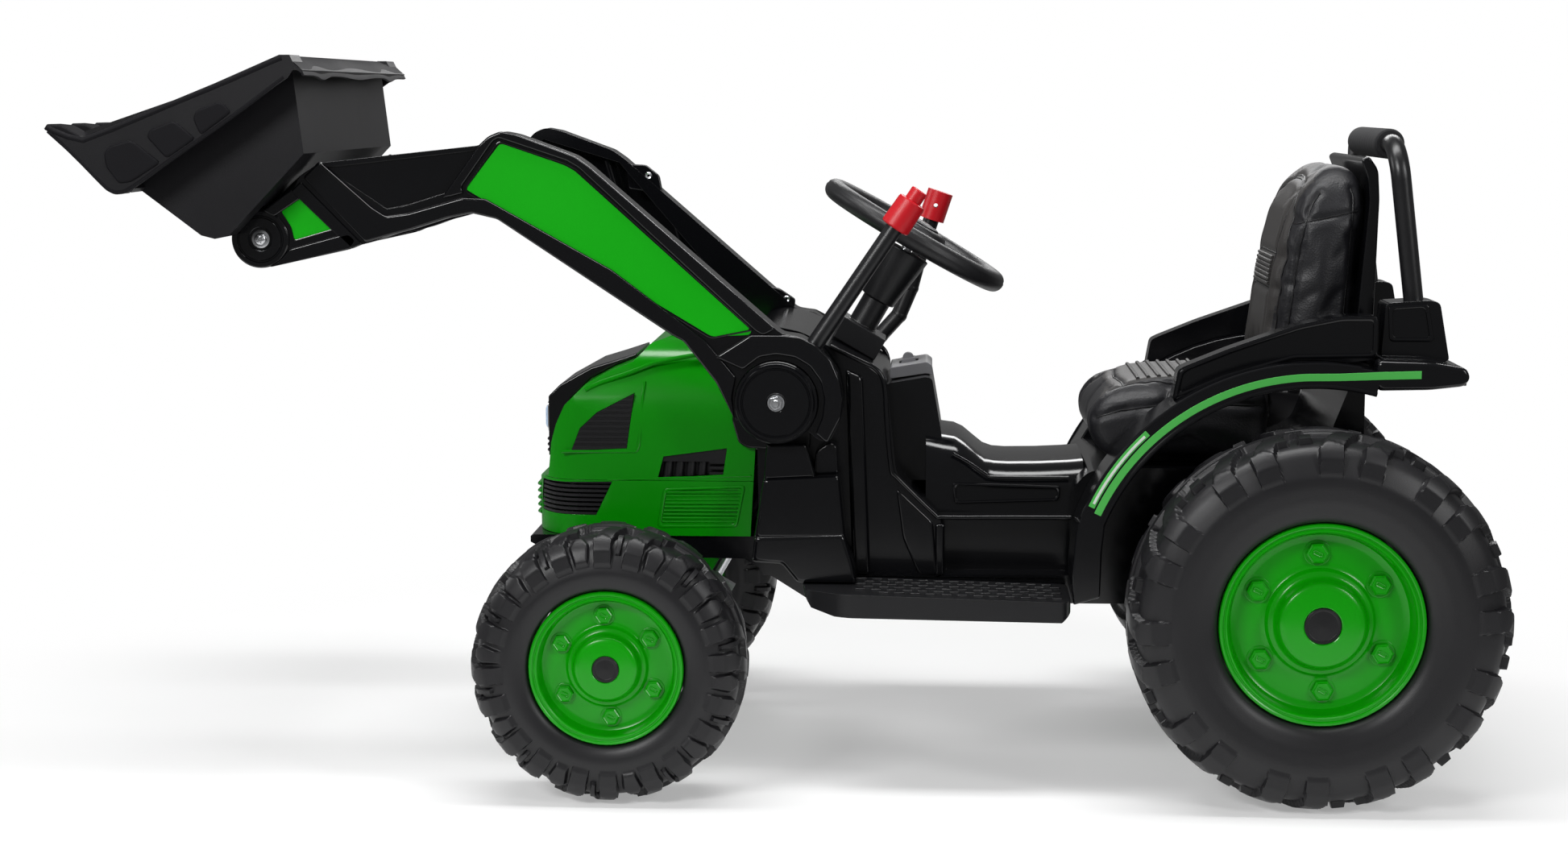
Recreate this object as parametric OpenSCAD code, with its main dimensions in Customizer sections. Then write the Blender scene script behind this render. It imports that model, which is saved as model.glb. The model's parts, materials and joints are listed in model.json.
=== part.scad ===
// Ride-on toy front loader: tractor body, four wheels, lift arms and a tilting bucket.
// The front of the vehicle points along -X, up is +Z, and the driver's left hand is -Y.

/* [Wheels] */
// Outer diameter of a rear tyre
rear_tyre_d = 380; // [370:1:384]
// Outer diameter of a front tyre
front_tyre_d = 280; // [270:1:284]
// Width of a rear tyre
rear_tyre_w = 118; // [110:1:120]
// Width of a front tyre
front_tyre_w = 100; // [94:1:102]
// Distance between the front and rear axles
wheelbase = 705; // [700:1:712]
// Overall width across the tyres
overall_w = 600; // [596:1:604]
// Diameter of the rear axle and of the front stub axles
axle_d = 10; // [8:1:12]

/* [Body] */
// Width of the hood and of the seat base
body_w = 254; // [248:1:256]
// Width of the vehicle across the two footboards
footboard_w = 456; // [440:2:460]
// Width of the vehicle across the two fenders
fender_w = 420; // [410:2:424]
// Wall thickness of the moulded shells
wall = 3; // [2.5:0.5:4]

/* [Loader] */
// Distance between the outer faces of the lift arms
arms_w = 348; // [344:2:352]
// Thickness of one lift arm
arm_t = 37; // [34:1:37]
// Width of the bucket across its rim
bucket_w = 500; // [480:2:510]
// Width of the bucket's body at the back
bucket_body_w = 424; // [400:2:430]
// Number of teeth on the bucket's front edge
teeth = 7; // [5:2:9]

/* [Steering] */
// Diameter of the steering wheel over its rim
steering_wheel_d = 220; // [200:2:224]
// Diameter of the steering wheel's rim tube
steering_rim_d = 23; // [18:1:24]
// Angle of the steering shaft above the horizontal
steering_angle = 60; // [59:0.5:61]

/* [Hidden] */
$fn = 64;

// Running clearance of a shaft in its bore, and the gap between neighbouring pieces
running = 0.05;
gap = 0.4;
half_body = body_w / 2;

// Axles and pivots in the side view, as [x, z]
rear_hub = [539, rear_tyre_d / 2];
front_hub = [539 - wheelbase, front_tyre_d / 2];
arm_pivot = [-3, 394];
bucket_pivot = [-533, 559];
wheel_centre = [136, 556];
rear_y = (overall_w - rear_tyre_w) / 2;
front_y = (overall_w - front_tyre_w) / 2;
kingpin_y = 165;

// ---- Helpers ----
function unit(v) = v / norm(v);
function ring_at(i, n) = (i + n) % n;

// Rounds each corner of an outline with a short curve that starts r from the corner
function soft(p, r, n = 4) = [
  for (i = [0 : len(p) - 1])
    let (
      b = p[i],
      a = p[ring_at(i - 1, len(p))],
      c = p[ring_at(i + 1, len(p))],
      t = min(r, 0.45 * norm(a - b), 0.45 * norm(c - b)),
      s = b + t * unit(a - b),
      e = b + t * unit(c - b)
    )
      for (k = [0 : n])
        let (q = k / n) (1 - q) * (1 - q) * s + 2 * q * (1 - q) * b + q * q * e
];

// Moves each side of an anticlockwise outline inwards by d
function inset(p, d) = [
  for (i = [0 : len(p) - 1])
    let (
      b = p[i],
      u = unit(b - p[ring_at(i - 1, len(p))]),
      v = unit(p[ring_at(i + 1, len(p))] - b),
      m = [-u.y, u.x],
      n = [-v.y, v.x]
    )
      b + d * (m + n) / (1 + m * n)
];

// Points on an arc about c, from angle a to angle b
function arc(c, r, a, b, n) = [
  for (k = [0 : n])
    let (t = a + (b - a) * k / n) c + r * [cos(t), sin(t)]
];

// An outline in the side view (x, z), given a thickness from y0 to y1
module slab(y0, y1) {
  translate([0, y1, 0]) rotate([90, 0, 0]) linear_extrude(y1 - y0) children();
}

// An outline seen from above (x, y), given a height from z0 to z1
module plan(z0, z1) {
  translate([0, 0, z0]) linear_extrude(z1 - z0) children();
}

// An outline seen from the front (y, z), given a depth from x0 to x1
module front(x0, x1) {
  translate([x0, 0, 0]) rotate([90, 0, 90]) linear_extrude(x1 - x0) children();
}

// A cylinder along Y about a point of the side view
module across(c, r, y0, y1, fn = 64) {
  translate([c.x, y1, c.y]) rotate([90, 0, 0]) cylinder(r = r, h = y1 - y0, $fn = fn);
}

// A round rod between two points in space
module rod(a, b, r) {
  d = b - a;
  translate(a)
    rotate([0, acos(d.z / norm(d)), atan2(d.y, d.x)])
      cylinder(r = r, h = norm(d));
}

// The children, and their mirror image on the vehicle's right
module both_sides() {
  children();
  mirror([0, 1, 0]) children();
}

// Puts a shape made for the vehicle's left on the given side
module on_side(side) {
  mirror([0, side > 0 ? 1 : 0, 0]) children();
}

// Stands a shape made about the Z axis on a wheel centre, with +Z pointing outboard
module at_wheel(hub, y, side) {
  translate([hub.x, side * y, hub.y]) rotate([-90 * side, 0, 0]) children();
}

// Stands a shape on the steering axis, with +Z up the axis and s = 0 at the wheel's centre
module on_steering_axis() {
  translate([wheel_centre.x, 0, wheel_centre.y]) rotate([0, 90 - steering_angle, 0]) children();
}

// ---- Chassis and body ----
tub_outline = [
  [-262, 246], [-266, 244], [-266, 238], [-240, 224], [-40, 222], [30, 178], [610, 178],
  [610, 205], [-20, 205], [-24, 246]
];

module chassis_tub() {
  half = half_body - 4;
  cavity = [
    [-235, 260], [-235, 228], [-38, 225.5], [31, 181], [606, 181], [606, 230], [-60, 260]
  ];
  color([0.05, 0.05, 0.055])
    difference() {
      union() {
        difference() {
          slab(-half, half) polygon(tub_outline);
          slab(-half + wall, half - wall) polygon(cavity);
        }
        for (side = [-1, 1])
          translate([rear_hub.x - 16, side * (half - 9) - 9, 168]) cube([32, 18, 36.5]);
      }
      across(rear_hub, axle_d / 2 + running, -half_body, half_body);
      on_steering_axis() translate([0, 0, -430]) cylinder(r = 13, h = 120);
    }
}

dash_outline = [
  [-24, 205.4], [166, 205.4], [166, 270], [119, 315], [109, 409], [95, 422], [50, 446.5],
  [20, 462], [-10, 468], [-32, 462], [-26, 345], [-24, 247]
];
console_outline = [
  [100, 300], [172, 300], [166, 351], [156, 408], [150, 410], [104, 402]
];
seat_base_outline = [
  [302, 205.4], [600, 205.4], [600, 413], [586, 413], [560, 345], [512, 322], [345, 322],
  [318, 318], [302, 300]
];

module hollow(outline, half) {
  difference() {
    slab(-half, half) polygon(soft(outline, 8));
    slab(-half + wall, half - wall) polygon(soft(inset(outline, wall), 6));
  }
}

// The tunnel between the driver's feet, seen from the front at its narrow top
module tunnel(extra) {
  front(150, 316)
    polygon([
      [-96 + extra, 205], [96 - extra, 205], [96 - extra, 262], [62 - extra, 314 - extra],
      [-62 + extra, 314 - extra], [-96 + extra, 262]
    ]);
}

module body_shell() {
  color([0.05, 0.05, 0.055])
    difference() {
      union() {
        hollow(dash_outline, half_body - 1);
        hollow(console_outline, 74);
        hollow(seat_base_outline, half_body);
        difference() {
          tunnel(0);
          tunnel(wall);
        }
        translate([166, -half_body + 1, 205.4]) cube([136, body_w - 2, wall]);
      }
      // Open underneath for the wiring, and along the steering shaft
      translate([-18, -90, 200]) cube([178, 180, 40]);
      translate([168, -80, 200]) cube([130, 160, 40]);
      translate([310, -110, 200]) cube([280, 220, 40]);
      on_steering_axis() translate([0, 0, -420]) cylinder(r = 14, h = 330);
      translate([-30, -60, 250]) cube([14, 120, 80]);
      across(arm_pivot, 6 + running, -half_body - 1, half_body + 1);
    }
}

// Side, plan and front outlines of the hood, which meet in one rounded shell
hood_outline = [
  [-262, 246.4], [-33, 246.4], [-27.5, 345], [-34, 460], [-112, 455], [-140, 446],
  [-158, 428], [-181, 419], [-207, 405], [-229, 383], [-239, 362], [-245, 342],
  [-249, 307], [-262, 302]
];

module hood_form(d) {
  half = half_body - d;
  intersection() {
    slab(-half, half) polygon(inset(hood_outline, d));
    plan(200, 500)
      polygon(soft([
        [-262 + d, -84 + d], [-236 + d, -half + 4], [-190, -half], [0, -half], [0, half],
        [-190, half], [-236 + d, half - 4], [-262 + d, 84 - d]
      ], 24));
    front(-300, 0)
      polygon(soft([
        [-half, 200], [half, 200], [half, 385 - d], [half - 26, 440 - d], [40, 464 - d],
        [-40, 464 - d], [-half + 26, 440 - d], [-half, 385 - d]
      ], 22));
  }
}

module hood_shell(z0, z1) {
  difference() {
    intersection() {
      hood_form(0);
      translate([-300, -150, z0]) cube([300, 300, z1 - z0]);
    }
    hood_form(wall);
    translate([-232, -half_body + 12, 230]) cube([232, body_w - 24, 150]);
  }
}

vent_outline = [
  [-221, 336], [-163, 339], [-155, 396], [-194, 376], [-212, 359]
];
insert_outline = [[-130, 307.5], [-62, 312], [-58, 339], [-124, 330]];
lamp_outline = [[-259, 268], [-196, 268], [-179, 303], [-256, 301]];

module hood_upper() {
  color([0.05, 0.5, 0.03])
    difference() {
      hood_shell(305, 500);
      both_sides() slab(-140, -half_body + 6.4) polygon(inset(vent_outline, -gap));
      both_sides() slab(-140, -half_body + 5) polygon(inset(insert_outline, -gap));
    }
}

module hood_lower() {
  color([0.08, 0.55, 0.03])
    difference() {
      hood_shell(246.4, 304.6);
      both_sides() slab(-150, -83.6) polygon(inset(lamp_outline, -gap));
      both_sides()
        for (k = [0 : 7])
          translate([-124, -half_body - 1, 261 + 4.6 * k]) cube([78, 2, 2.2]);
    }
}

module hood_visor() {
  color([0.03, 0.03, 0.035])
    difference() {
      slab(-64, 64)
        polygon([
          [-254, 322], [-249.4, 322], [-245.5, 342], [-239.5, 362], [-229.5, 383.5],
          [-207.5, 405.8], [-181.4, 420], [-158.6, 429], [-158, 433], [-182, 425],
          [-208, 417], [-242, 398], [-254, 386]
        ]);
      both_sides() translate([-260, -58, 346]) cube([14, 34, 34]);
    }
}

module side_vents() {
  color([0.08, 0.08, 0.1])
    both_sides() {
      slab(-half_body + 2, -half_body + 6) polygon(vent_outline);
      difference() {
        slab(-half_body, -half_body + 2.2) polygon(vent_outline);
        for (k = [0 : 9])
          translate([-230, -half_body - 1, 341 + 5.6 * k]) cube([80, 2.4, 2.6]);
      }
    }
}

module engine_inserts() {
  color([0.1, 0.1, 0.1])
    both_sides()
      intersection() {
        slab(-half_body, -half_body + 24) polygon(insert_outline);
        union() {
          slab(-half_body + 10, -half_body + 14) polygon(insert_outline);
          translate([-130, -half_body + 2, 325]) cube([80, 10, 20]);
          for (k = [0 : 3]) rod([-122 + 12 * k, -118, 300], [-119 + 12 * k, -118, 326], 5);
          for (k = [0 : 2]) translate([-76, -half_body + 2, 311 + 6 * k]) cube([20, 10, 3]);
        }
      }
}

module lamp_grilles() {
  color([0.08, 0.08, 0.1])
    intersection() {
      both_sides() slab(-150, -84) polygon(lamp_outline);
      difference() {
        hood_form(0.6);
        hood_form(wall);
        for (k = [0 : 6]) translate([-270, -150, 270.5 + 4.8 * k]) cube([120, 300, 2]);
      }
    }
}

module headlights() {
  color([0.75, 0.85, 1])
    both_sides() translate([-254, -57, 347]) cube([4, 32, 32]);
}

module control_panel() {
  color([0.25, 0.25, 0.26])
    difference() {
      slab(-44, 44)
        polygon(soft([[111, 404.6], [150, 410.6], [156, 409], [156, 419], [150, 423], [111, 416.5]], 2));
      slab(-12.3, 12.3) polygon([[121, 410.2], [141, 413.2], [140.5, 430], [119.8, 430]]);
    }
}

module direction_switch() {
  color([0.7, 0.7, 0.72])
    difference() {
      union() {
        slab(-12, 12) polygon([[123.5, 413.2], [138.5, 415.6], [137.5, 424.4], [122.5, 422.1]]);
        across([130, 423], 6, -5, 5);
      }
      across([131, 416], 1.5, -13, 13);
    }
}

// ---- Footboards, seat, fenders and rear ----
footboard_outline = [
  [22, 204.6], [34, 187], [58, 181], [288, 178], [297.4, 186], [297.4, 199], [86, 204.6]
];

module footboard(side) {
  edge = footboard_w / 2;
  color([0.06, 0.06, 0.065])
    on_side(side)
      difference() {
        intersection() {
          slab(-edge, -half_body + 2) polygon(footboard_outline);
          plan(150, 260)
            polygon(soft([
              [20, -half_body + 2], [28, -edge + 26], [70, -edge], [292, -edge],
              [297.4, -edge + 16], [297.4, -half_body + 2]
            ], 12));
        }
        slab(-edge + wall, -half_body - wall + 2)
          polygon([[82, 170], [286, 170], [286, 195.5], [82, 199]]);
      }
}

module seat_cushion() {
  color([0.12, 0.12, 0.12])
    slab(-116, 116)
      polygon(soft([
        [336, 326], [505, 326], [508, 408], [450, 413], [370, 409], [326, 398], [312, 374],
        [316, 348]
      ], 12));
}

module backrest_shell() {
  color([0.05, 0.05, 0.055])
    slab(-111, 111)
      polygon(soft([
        [588, 414], [602, 414], [603.8, 446], [609, 470], [612, 600], [610, 630], [600, 644], [592, 640],
        [600, 620], [602, 598], [594, 500]
      ], 6));
}

module backrest_cushion() {
  color([0.12, 0.12, 0.12])
    slab(-110, 110)
      polygon(soft([
        [500, 416], [584, 416], [592, 500], [599, 598], [597, 618], [589, 633], [566, 636],
        [545, 627], [533, 609], [519, 555], [511, 500], [507, 460]
      ], 10));
}

fender_r = 250;
arch_r = 226;

function fender_outline(d) = concat(
  arc(rear_hub, arch_r, 75, 157, 14),
  [[328 - d, 246], [327 - d, 201], [300 + d, 193], [298 + d, 222], [302 + d, 268]],
  arc(rear_hub, fender_r - d, 158, 75, 14)
);

module fender(side) {
  edge = fender_w / 2;
  inner = half_body + 1;
  color([0.05, 0.05, 0.055])
    on_side(side)
      difference() {
        slab(-edge, -inner) polygon(fender_outline(0));
        slab(-edge + 4, -inner - 4)
          polygon(concat(
            arc(rear_hub, arch_r - 6, 70, 158, 14),
            [[318, 246], [305, 246], [306, 270]],
            arc(rear_hub, fender_r - 4, 157, 70, 14)
          ));
      }
}

module armrest(side) {
  color([0.05, 0.05, 0.055])
    on_side(side)
      difference() {
        slab(-175, -148)
          polygon(soft([
            [398, 396], [520, 430], [603.5, 442], [603.5, 486], [566, 485], [524, 476],
            [456, 452], [412, 434], [404, 430]
          ], 8));
        across(rear_hub, fender_r + gap, -180, -140, 128);
      }
}

module fender_stripes() {
  edge = fender_w / 2;
  color([0.2, 0.8, 0.2])
    both_sides() {
      slab(-edge - 0.8, -edge - 0.1)
        polygon(concat(
          arc(rear_hub, 233, 153, 77, 20),
          arc(rear_hub, 240, 77, 153, 20)
        ));
      slab(-edge - 0.8, -edge - 0.1)
        polygon(concat(
          arc(rear_hub, 242.5, 155, 133, 8),
          arc(rear_hub, 248, 133, 155, 8)
        ));
    }
}

post_y = 134;
post_foot = [645, 496];
post_lean = 7.3;
tube_r = 10;

module on_post_plane() {
  translate([post_foot.x, 0, post_foot.y]) rotate([0, -post_lean, 0]) children();
}

module rear_bumper() {
  color([0.05, 0.05, 0.055])
    difference() {
      union() {
        slab(-190, 190)
          polygon(soft([
            [604.5, 413.5], [648, 413.5], [682, 417], [690, 426], [686, 436], [650, 443],
            [604.5, 444]
          ], 6));
        both_sides()
          slab(-160, -112)
            polygon(soft([[609, 443], [678, 438], [667, 498], [655, 500], [613, 497]], 5));
      }
      slab(-150, 150) polygon([[608, 405], [640, 405], [640, 438], [608, 440]]);
      both_sides()
        on_post_plane()
          translate([0, -post_y, -45]) cylinder(r = tube_r + running, h = 60);
    }
}

module roll_bar() {
  bend_r = 34;
  rise = 161;
  color([0.07, 0.07, 0.07])
    on_post_plane() {
      both_sides() {
        translate([0, -post_y, -44]) cylinder(r = tube_r, h = rise + 44 - bend_r);
        translate([0, -post_y + bend_r, rise - bend_r])
          rotate([90, 0, 90])
            rotate([0, 0, 90])
              rotate_extrude(angle = 90) translate([bend_r, 0]) circle(r = tube_r);
      }
      translate([0, -post_y + bend_r, rise])
        rotate([-90, 0, 0]) cylinder(r = tube_r, h = 2 * (post_y - bend_r));
    }
}

module roll_bar_grip() {
  color([0.1, 0.1, 0.1])
    on_post_plane()
      translate([0, 0, 161])
        rotate([90, 0, 0])
          difference() {
            cylinder(r = 15.5, h = 176, center = true);
            cylinder(r = tube_r + running, h = 180, center = true);
          }
}

// ---- What the body holds inside ----
module battery() {
  color([0.15, 0.15, 0.17]) {
    translate([-226, -33, 229]) cube([151, 66, 90]);
    for (y = [-20, 14]) translate([-215, y, 319]) cube([6, 6, 7]);
  }
}

module control_box() {
  color([0.2, 0.2, 0.22])
    difference() {
      translate([190, -32, 182]) cube([96, 64, 36]);
      for (y = [-22, -8, 6]) translate([186, y, 190]) cube([10, 12, 12]);
    }
}

module drive_gearboxes() {
  color([0.12, 0.12, 0.12])
    both_sides()
      difference() {
        union() {
          across(rear_hub, 30, -178, -half_body);
          rod([rear_hub.x + 40, -150, 205], [rear_hub.x + 40, -half_body, 205], 18);
          translate([rear_hub.x, -150, 190]) cube([44, 150 - half_body, 30]);
        }
        across(rear_hub, axle_d / 2 + running, -190, -110);
      }
}

module rear_axle() {
  color([0.7, 0.7, 0.72]) across(rear_hub, axle_d / 2, -278, 278);
}

module front_axle_beam() {
  color([0.06, 0.06, 0.06])
    difference() {
      union() {
        translate([front_hub.x - 14, -150, 121]) cube([28, 300, 38]);
        for (z = [115, 158.5])
          for (side = [-1, 1])
            translate([front_hub.x, side * kingpin_y, z]) cylinder(r = 14, h = 6.5);
        for (z = [115, 158.5])
          for (side = [-1, 1])
            translate([front_hub.x - 14, side * 152.5 - 12.5, z]) cube([28, 25, 6.5]);
        translate([front_hub.x - 26, -60, 150]) cube([52, 120, 72]);
      }
      for (side = [-1, 1])
        translate([front_hub.x, side * kingpin_y, 100])
          cylinder(r = axle_d / 2 + running, h = 80);
      // Room for the knuckle's boss to turn
      for (side = [-1, 1])
        translate([front_hub.x, side * kingpin_y, 121.5]) cylinder(r = 14, h = 37);
    }
}

module steering_gearbox() {
  color([0.12, 0.12, 0.12])
    on_steering_axis()
      difference() {
        translate([-22, -32, -318]) cube([44, 64, 46]);
        translate([0, 0, -330]) cylinder(r = 6 + running, h = 70);
      }
}

module loader_shaft() {
  color([0.75, 0.76, 0.78]) {
    across(arm_pivot, 6, -186, 186);
    both_sides() across(arm_pivot, 11, -187, -183.4, 6);
  }
}

module pivot_tower(side) {
  outline = [
    [-29, 226], [2, 224], [20, 205.4], [86, 205.4], [70, 248], [63, 316], [60, 336],
    [32, 349], [-8, 349], [-15, 308], [-24, 251]
  ];
  back_plate = concat(
    [[-44, 346], [-8, 300], [30, 300]],
    arc(arm_pivot, 34, -30, 180, 12)
  );
  color([0.05, 0.05, 0.055])
    on_side(side)
      difference() {
        union() {
          slab(-170, -half_body - 0.6) polygon(soft(outline, 3));
          slab(-132, -half_body - 0.6) polygon(back_plate);
        }
        slab(-166, -134)
          polygon([[-8, 232], [64, 215], [58, 248], [52, 312], [30, 330], [0, 330]]);
        across(arm_pivot, 6 + running, -180, -100);
      }
}

hub_r = 42.5;

module pivot_hubs() {
  color([0.04, 0.04, 0.045])
    both_sides()
      difference() {
        union() {
          across(arm_pivot, hub_r, -180, -137);
          across(arm_pivot, 36, -183, -179);
        }
        across(arm_pivot, 6 + running, -190, -130);
        across(arm_pivot, 30, -160, -136);
      }
}

// ---- Loader arms, levers and bucket ----
arm_outline = [
  [-43, 372], [-65, 414], [-98, 456], [-108, 461], [-288, 580], [-314, 586], [-339, 581],
  [-380, 568], [-396, 564], [-418, 556], [-524, 530], [-545, 533], [-558, 546],
  [-562, 560], [-558, 572], [-549, 583], [-530, 588], [-497, 611], [-492, 623],
  [-470, 637], [-304, 655], [-296, 664], [-284, 669], [-268, 666], [-208, 644],
  [-195, 635], [2, 464], [22, 461], [45, 446], [60, 424], [65, 398], [62, 375],
  [51, 353], [40, 355], [26, 367], [0, 380]
];

function clockwise(p) = [for (i = [len(p) - 1 : -1 : 0]) p[i]];

module lift_arm(side) {
  outer = arms_w / 2;
  lever_start = [24, -155, 435];
  color([0.05, 0.05, 0.055])
    on_side(side)
      difference() {
        slab(-outer, -outer + arm_t) polygon(soft(clockwise(arm_outline), 5, 3));
        // The inner face is open: a channel along the beam and another in the nose
        slab(-outer + 5, -outer + arm_t + 1)
          polygon([
            [-286, 656], [-300, 640], [-320, 596], [-284, 590], [-104, 472], [-66, 430],
            [-46, 450], [-200, 630]
          ]);
        slab(-outer + 5, -outer + arm_t + 1)
          polygon([[-334, 644], [-350, 588], [-400, 576], [-470, 622], [-466, 630]]);
        // The forward panel is set back from the outer face
        slab(-outer - 1, -outer + 3)
          polygon([[-309, 650], [-342, 606], [-380, 594], [-402, 590], [-466, 632]]);
        across(arm_pivot, hub_r + gap, -190, -130, 128);
        slab(-190, -130)
          polygon([[-50, 330], [-50, 372], [-3, 394], [26, 366], [40, 330]]);
        across(bucket_pivot, 5 + running, -190, -130);
        if (side < 0) rod(lever_start, [120, -155, 577], 9 + running);
      }
}

module arm_inlays() {
  outer = arms_w / 2;
  color([0.1, 0.75, 0.1])
    both_sides() {
      slab(-outer - 0.9, -outer - 0.1)
        polygon(soft(clockwise([
          [-69, 461], [-319, 610], [-318, 613], [-284, 657], [-219, 635], [-208, 629],
          [-28, 467], [-31, 463]
        ]), 4));
      slab(-outer - 0.9, -outer - 0.1)
        polygon(soft([[-499, 557], [-451, 571], [-489, 602], [-511, 587], [-501, 571]], 3));
    }
}

lever_foot = [26, -155, 438];
lever_way = unit([84, 0, 124]);

module lift_lever() {
  color([0.07, 0.07, 0.07]) rod(lever_foot, lever_foot + 170 * lever_way, 9);
}

module lift_lever_grip() {
  seat = lever_foot + 161 * lever_way;
  color([0.8, 0.02, 0.02])
    difference() {
      rod(seat, seat + 33 * lever_way, 15);
      rod(seat - lever_way, seat + 9.2 * lever_way, 9 + running);
      rod(seat + 20 * lever_way, seat + 34 * lever_way, 9 + 0.3);
    }
}

module release_button() {
  seat = lever_foot + 161 * lever_way;
  color([0.8, 0.02, 0.02]) rod(seat + 26 * lever_way, seat + 46 * lever_way, 9);
}

// The tilt lever turns on the loader shaft beside the right arm
tilt_path = [
  [76, 143, 425], [97, 146, 434], [118, 149, 457], [131, 150, 488], [142, 150, 530],
  [154, 150, 566]
];
knob_way = unit([12, 0, 36]);

module tilt_lever() {
  color([0.06, 0.06, 0.06]) {
    difference() {
      slab(132.6, 135.8)
        polygon(concat(
          arc(arm_pivot, 22, 100, 262, 12),
          [[40, 398], [84, 412], [86, 428], [74, 436], [30, 426]]
        ));
      across(arm_pivot, 6 + 2 * running, 120, 140);
    }
    for (i = [0 : len(tilt_path) - 2]) rod(tilt_path[i], tilt_path[i + 1], 9);
    for (i = [0 : len(tilt_path) - 2]) translate(tilt_path[i]) sphere(r = 9.4);
  }
}

module tilt_lever_knob() {
  foot = tilt_path[len(tilt_path) - 1];
  color([0.8, 0.02, 0.02])
    difference() {
      rod(foot, foot + 33 * knob_way, 14.5);
      rod(foot + [5, -20, 16], foot + [5, 20, 16], 2.5);
    }
}

bucket_outline = [
  [-716, 664], [-584, 564.5], [-570, 561], [-556, 564], [-477, 647], [-488, 741]
];

module wrist_pocket(r, spare) {
  both_sides() across(bucket_pivot, r, -178 - spare, -133 + spare);
}

module bucket() {
  half = bucket_w / 2;
  body = bucket_body_w / 2;
  rim_side = [
    [-729, 673], [-668, 612], [-657, 607], [-640, 614], [-483, 722], [-476, 732],
    [-480, 744], [-490, 745], [-689, 660]
  ];
  lip_w = 2 * half - 6;
  tooth_w = lip_w / (2 * teeth - 1);
  color([0.08, 0.08, 0.085])
    difference() {
      union() {
        difference() {
          slab(-body, body) polygon(bucket_outline);
          difference() {
            slab(-body + wall, body - wall)
              polygon([
                [-712, 666], [-583, 568], [-570, 564.5], [-558, 567.5], [-480.5, 648.5],
                [-492, 760], [-712, 760]
              ]);
            wrist_pocket(37.5, 3);
          }
        }
        // Folded rim: a side plate standing off the body, and the strip that joins them
        both_sides() slab(-half, -half + wall) polygon(rim_side);
        both_sides()
          slab(-half, -body + wall)
            polygon([
              [-727, 673], [-722, 668], [-689, 656], [-489, 741], [-477, 730], [-474, 733],
              [-480, 745], [-490, 745], [-689, 660]
            ]);
        both_sides()
          slab(-half, -body + wall) polygon([[-729, 673], [-724, 672], [-655, 611], [-657, 607]]);
        // Front edge with its row of teeth
        slab(-half, half) polygon([[-704, 656], [-700, 659], [-640, 613], [-643, 609]]);
        for (k = [0 : teeth - 1])
          translate([0, -half + 3 + 2 * k * tooth_w, 0])
            slab(0, tooth_w)
              polygon([[-729, 673], [-727, 676], [-694, 662], [-688, 650], [-692, 646]]);
        // Rear lip
        slab(-half, half) polygon([[-490, 741], [-490, 744.5], [-467, 730], [-468, 727]]);
        // Ears for the pivot bolts
        both_sides()
          slab(-131.5, -118)
            polygon(concat(
              arc(bucket_pivot, 17, -140, 40, 10),
              [[-500, 622], [-560, 561]]
            ));
      }
      wrist_pocket(34, 0);
      both_sides() across(bucket_pivot, 5 + running, -140, -100);
    }
}

module bucket_bolts() {
  color([0.75, 0.76, 0.78])
    both_sides() {
      across(bucket_pivot, 5, -174.2, -116);
      difference() {
        across(bucket_pivot, 10, -178, -174.2);
        slab(-179, -176) polygon([[-540, 558.2], [-526, 558.2], [-526, 559.8], [-540, 559.8]]);
        slab(-179, -176) polygon([[-533.8, 552], [-532.2, 552], [-532.2, 566], [-533.8, 566]]);
      }
    }
}

// ---- Steering ----
module steering_column() {
  color([0.06, 0.06, 0.065])
    on_steering_axis()
      difference() {
        union() {
          translate([0, 0, -80]) cylinder(r1 = 19.5, r2 = 28, h = 61);
          translate([0, 0, -112]) cylinder(r = 15.5, h = 34);
          translate([-22, -30, -136.6]) cube([52, 60, 25]);
        }
        translate([0, 0, -140]) cylinder(r = 6 + running, h = 130);
      }
}

module steering_wheel() {
  ring_r = (steering_wheel_d - steering_rim_d) / 2;
  color([0.07, 0.07, 0.07])
    on_steering_axis()
      difference() {
        union() {
          rotate_extrude($fn = 96) translate([ring_r, 0]) circle(r = steering_rim_d / 2, $fn = 32);
          translate([0, 0, -14]) cylinder(r = 34, h = 28);
          for (a = [-90, 0, 90])
            rotate([0, 0, a]) translate([25, -11, -7]) cube([ring_r - 25, 22, 10]);
        }
        translate([0, 0, -15]) cylinder(r = 6 + running, h = 17);
        translate([0, 0, 4]) cylinder(r = 22.3, h = 20);
      }
}

module steering_shaft() {
  color([0.7, 0.7, 0.72])
    on_steering_axis() {
      translate([0, 0, -440]) cylinder(r = 6, h = 441.5);
      translate([-6, -6, -438]) cube([30, 12, 7]);
      translate([18, 0, -470]) cylinder(r = 3.5, h = 34);
    }
}

module horn_button() {
  color([0.1, 0.1, 0.1]) on_steering_axis() translate([0, 0, 8]) cylinder(r = 22, h = 9);
}

module knuckle(side) {
  color([0.08, 0.08, 0.08])
    on_side(side)
      difference() {
        union() {
          translate([front_hub.x, -kingpin_y, 122]) cylinder(r = 11, h = 36);
          translate([front_hub.x, -kingpin_y, 112]) cylinder(r = axle_d / 2, h = 56);
          rod([front_hub.x, -kingpin_y, front_hub.y], [front_hub.x, -197, front_hub.y], 9);
          rod([front_hub.x, -197, front_hub.y], [front_hub.x, -284, front_hub.y], axle_d / 2);
          translate([front_hub.x, -kingpin_y - 7, 128]) cube([45, 14, 7]);
          translate([front_hub.x + 45, -kingpin_y, 128]) cylinder(r = 12, h = 7);
        }
        translate([front_hub.x + 45, -kingpin_y, 120]) cylinder(r = 6.5, h = 20);
      }
}

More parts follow.
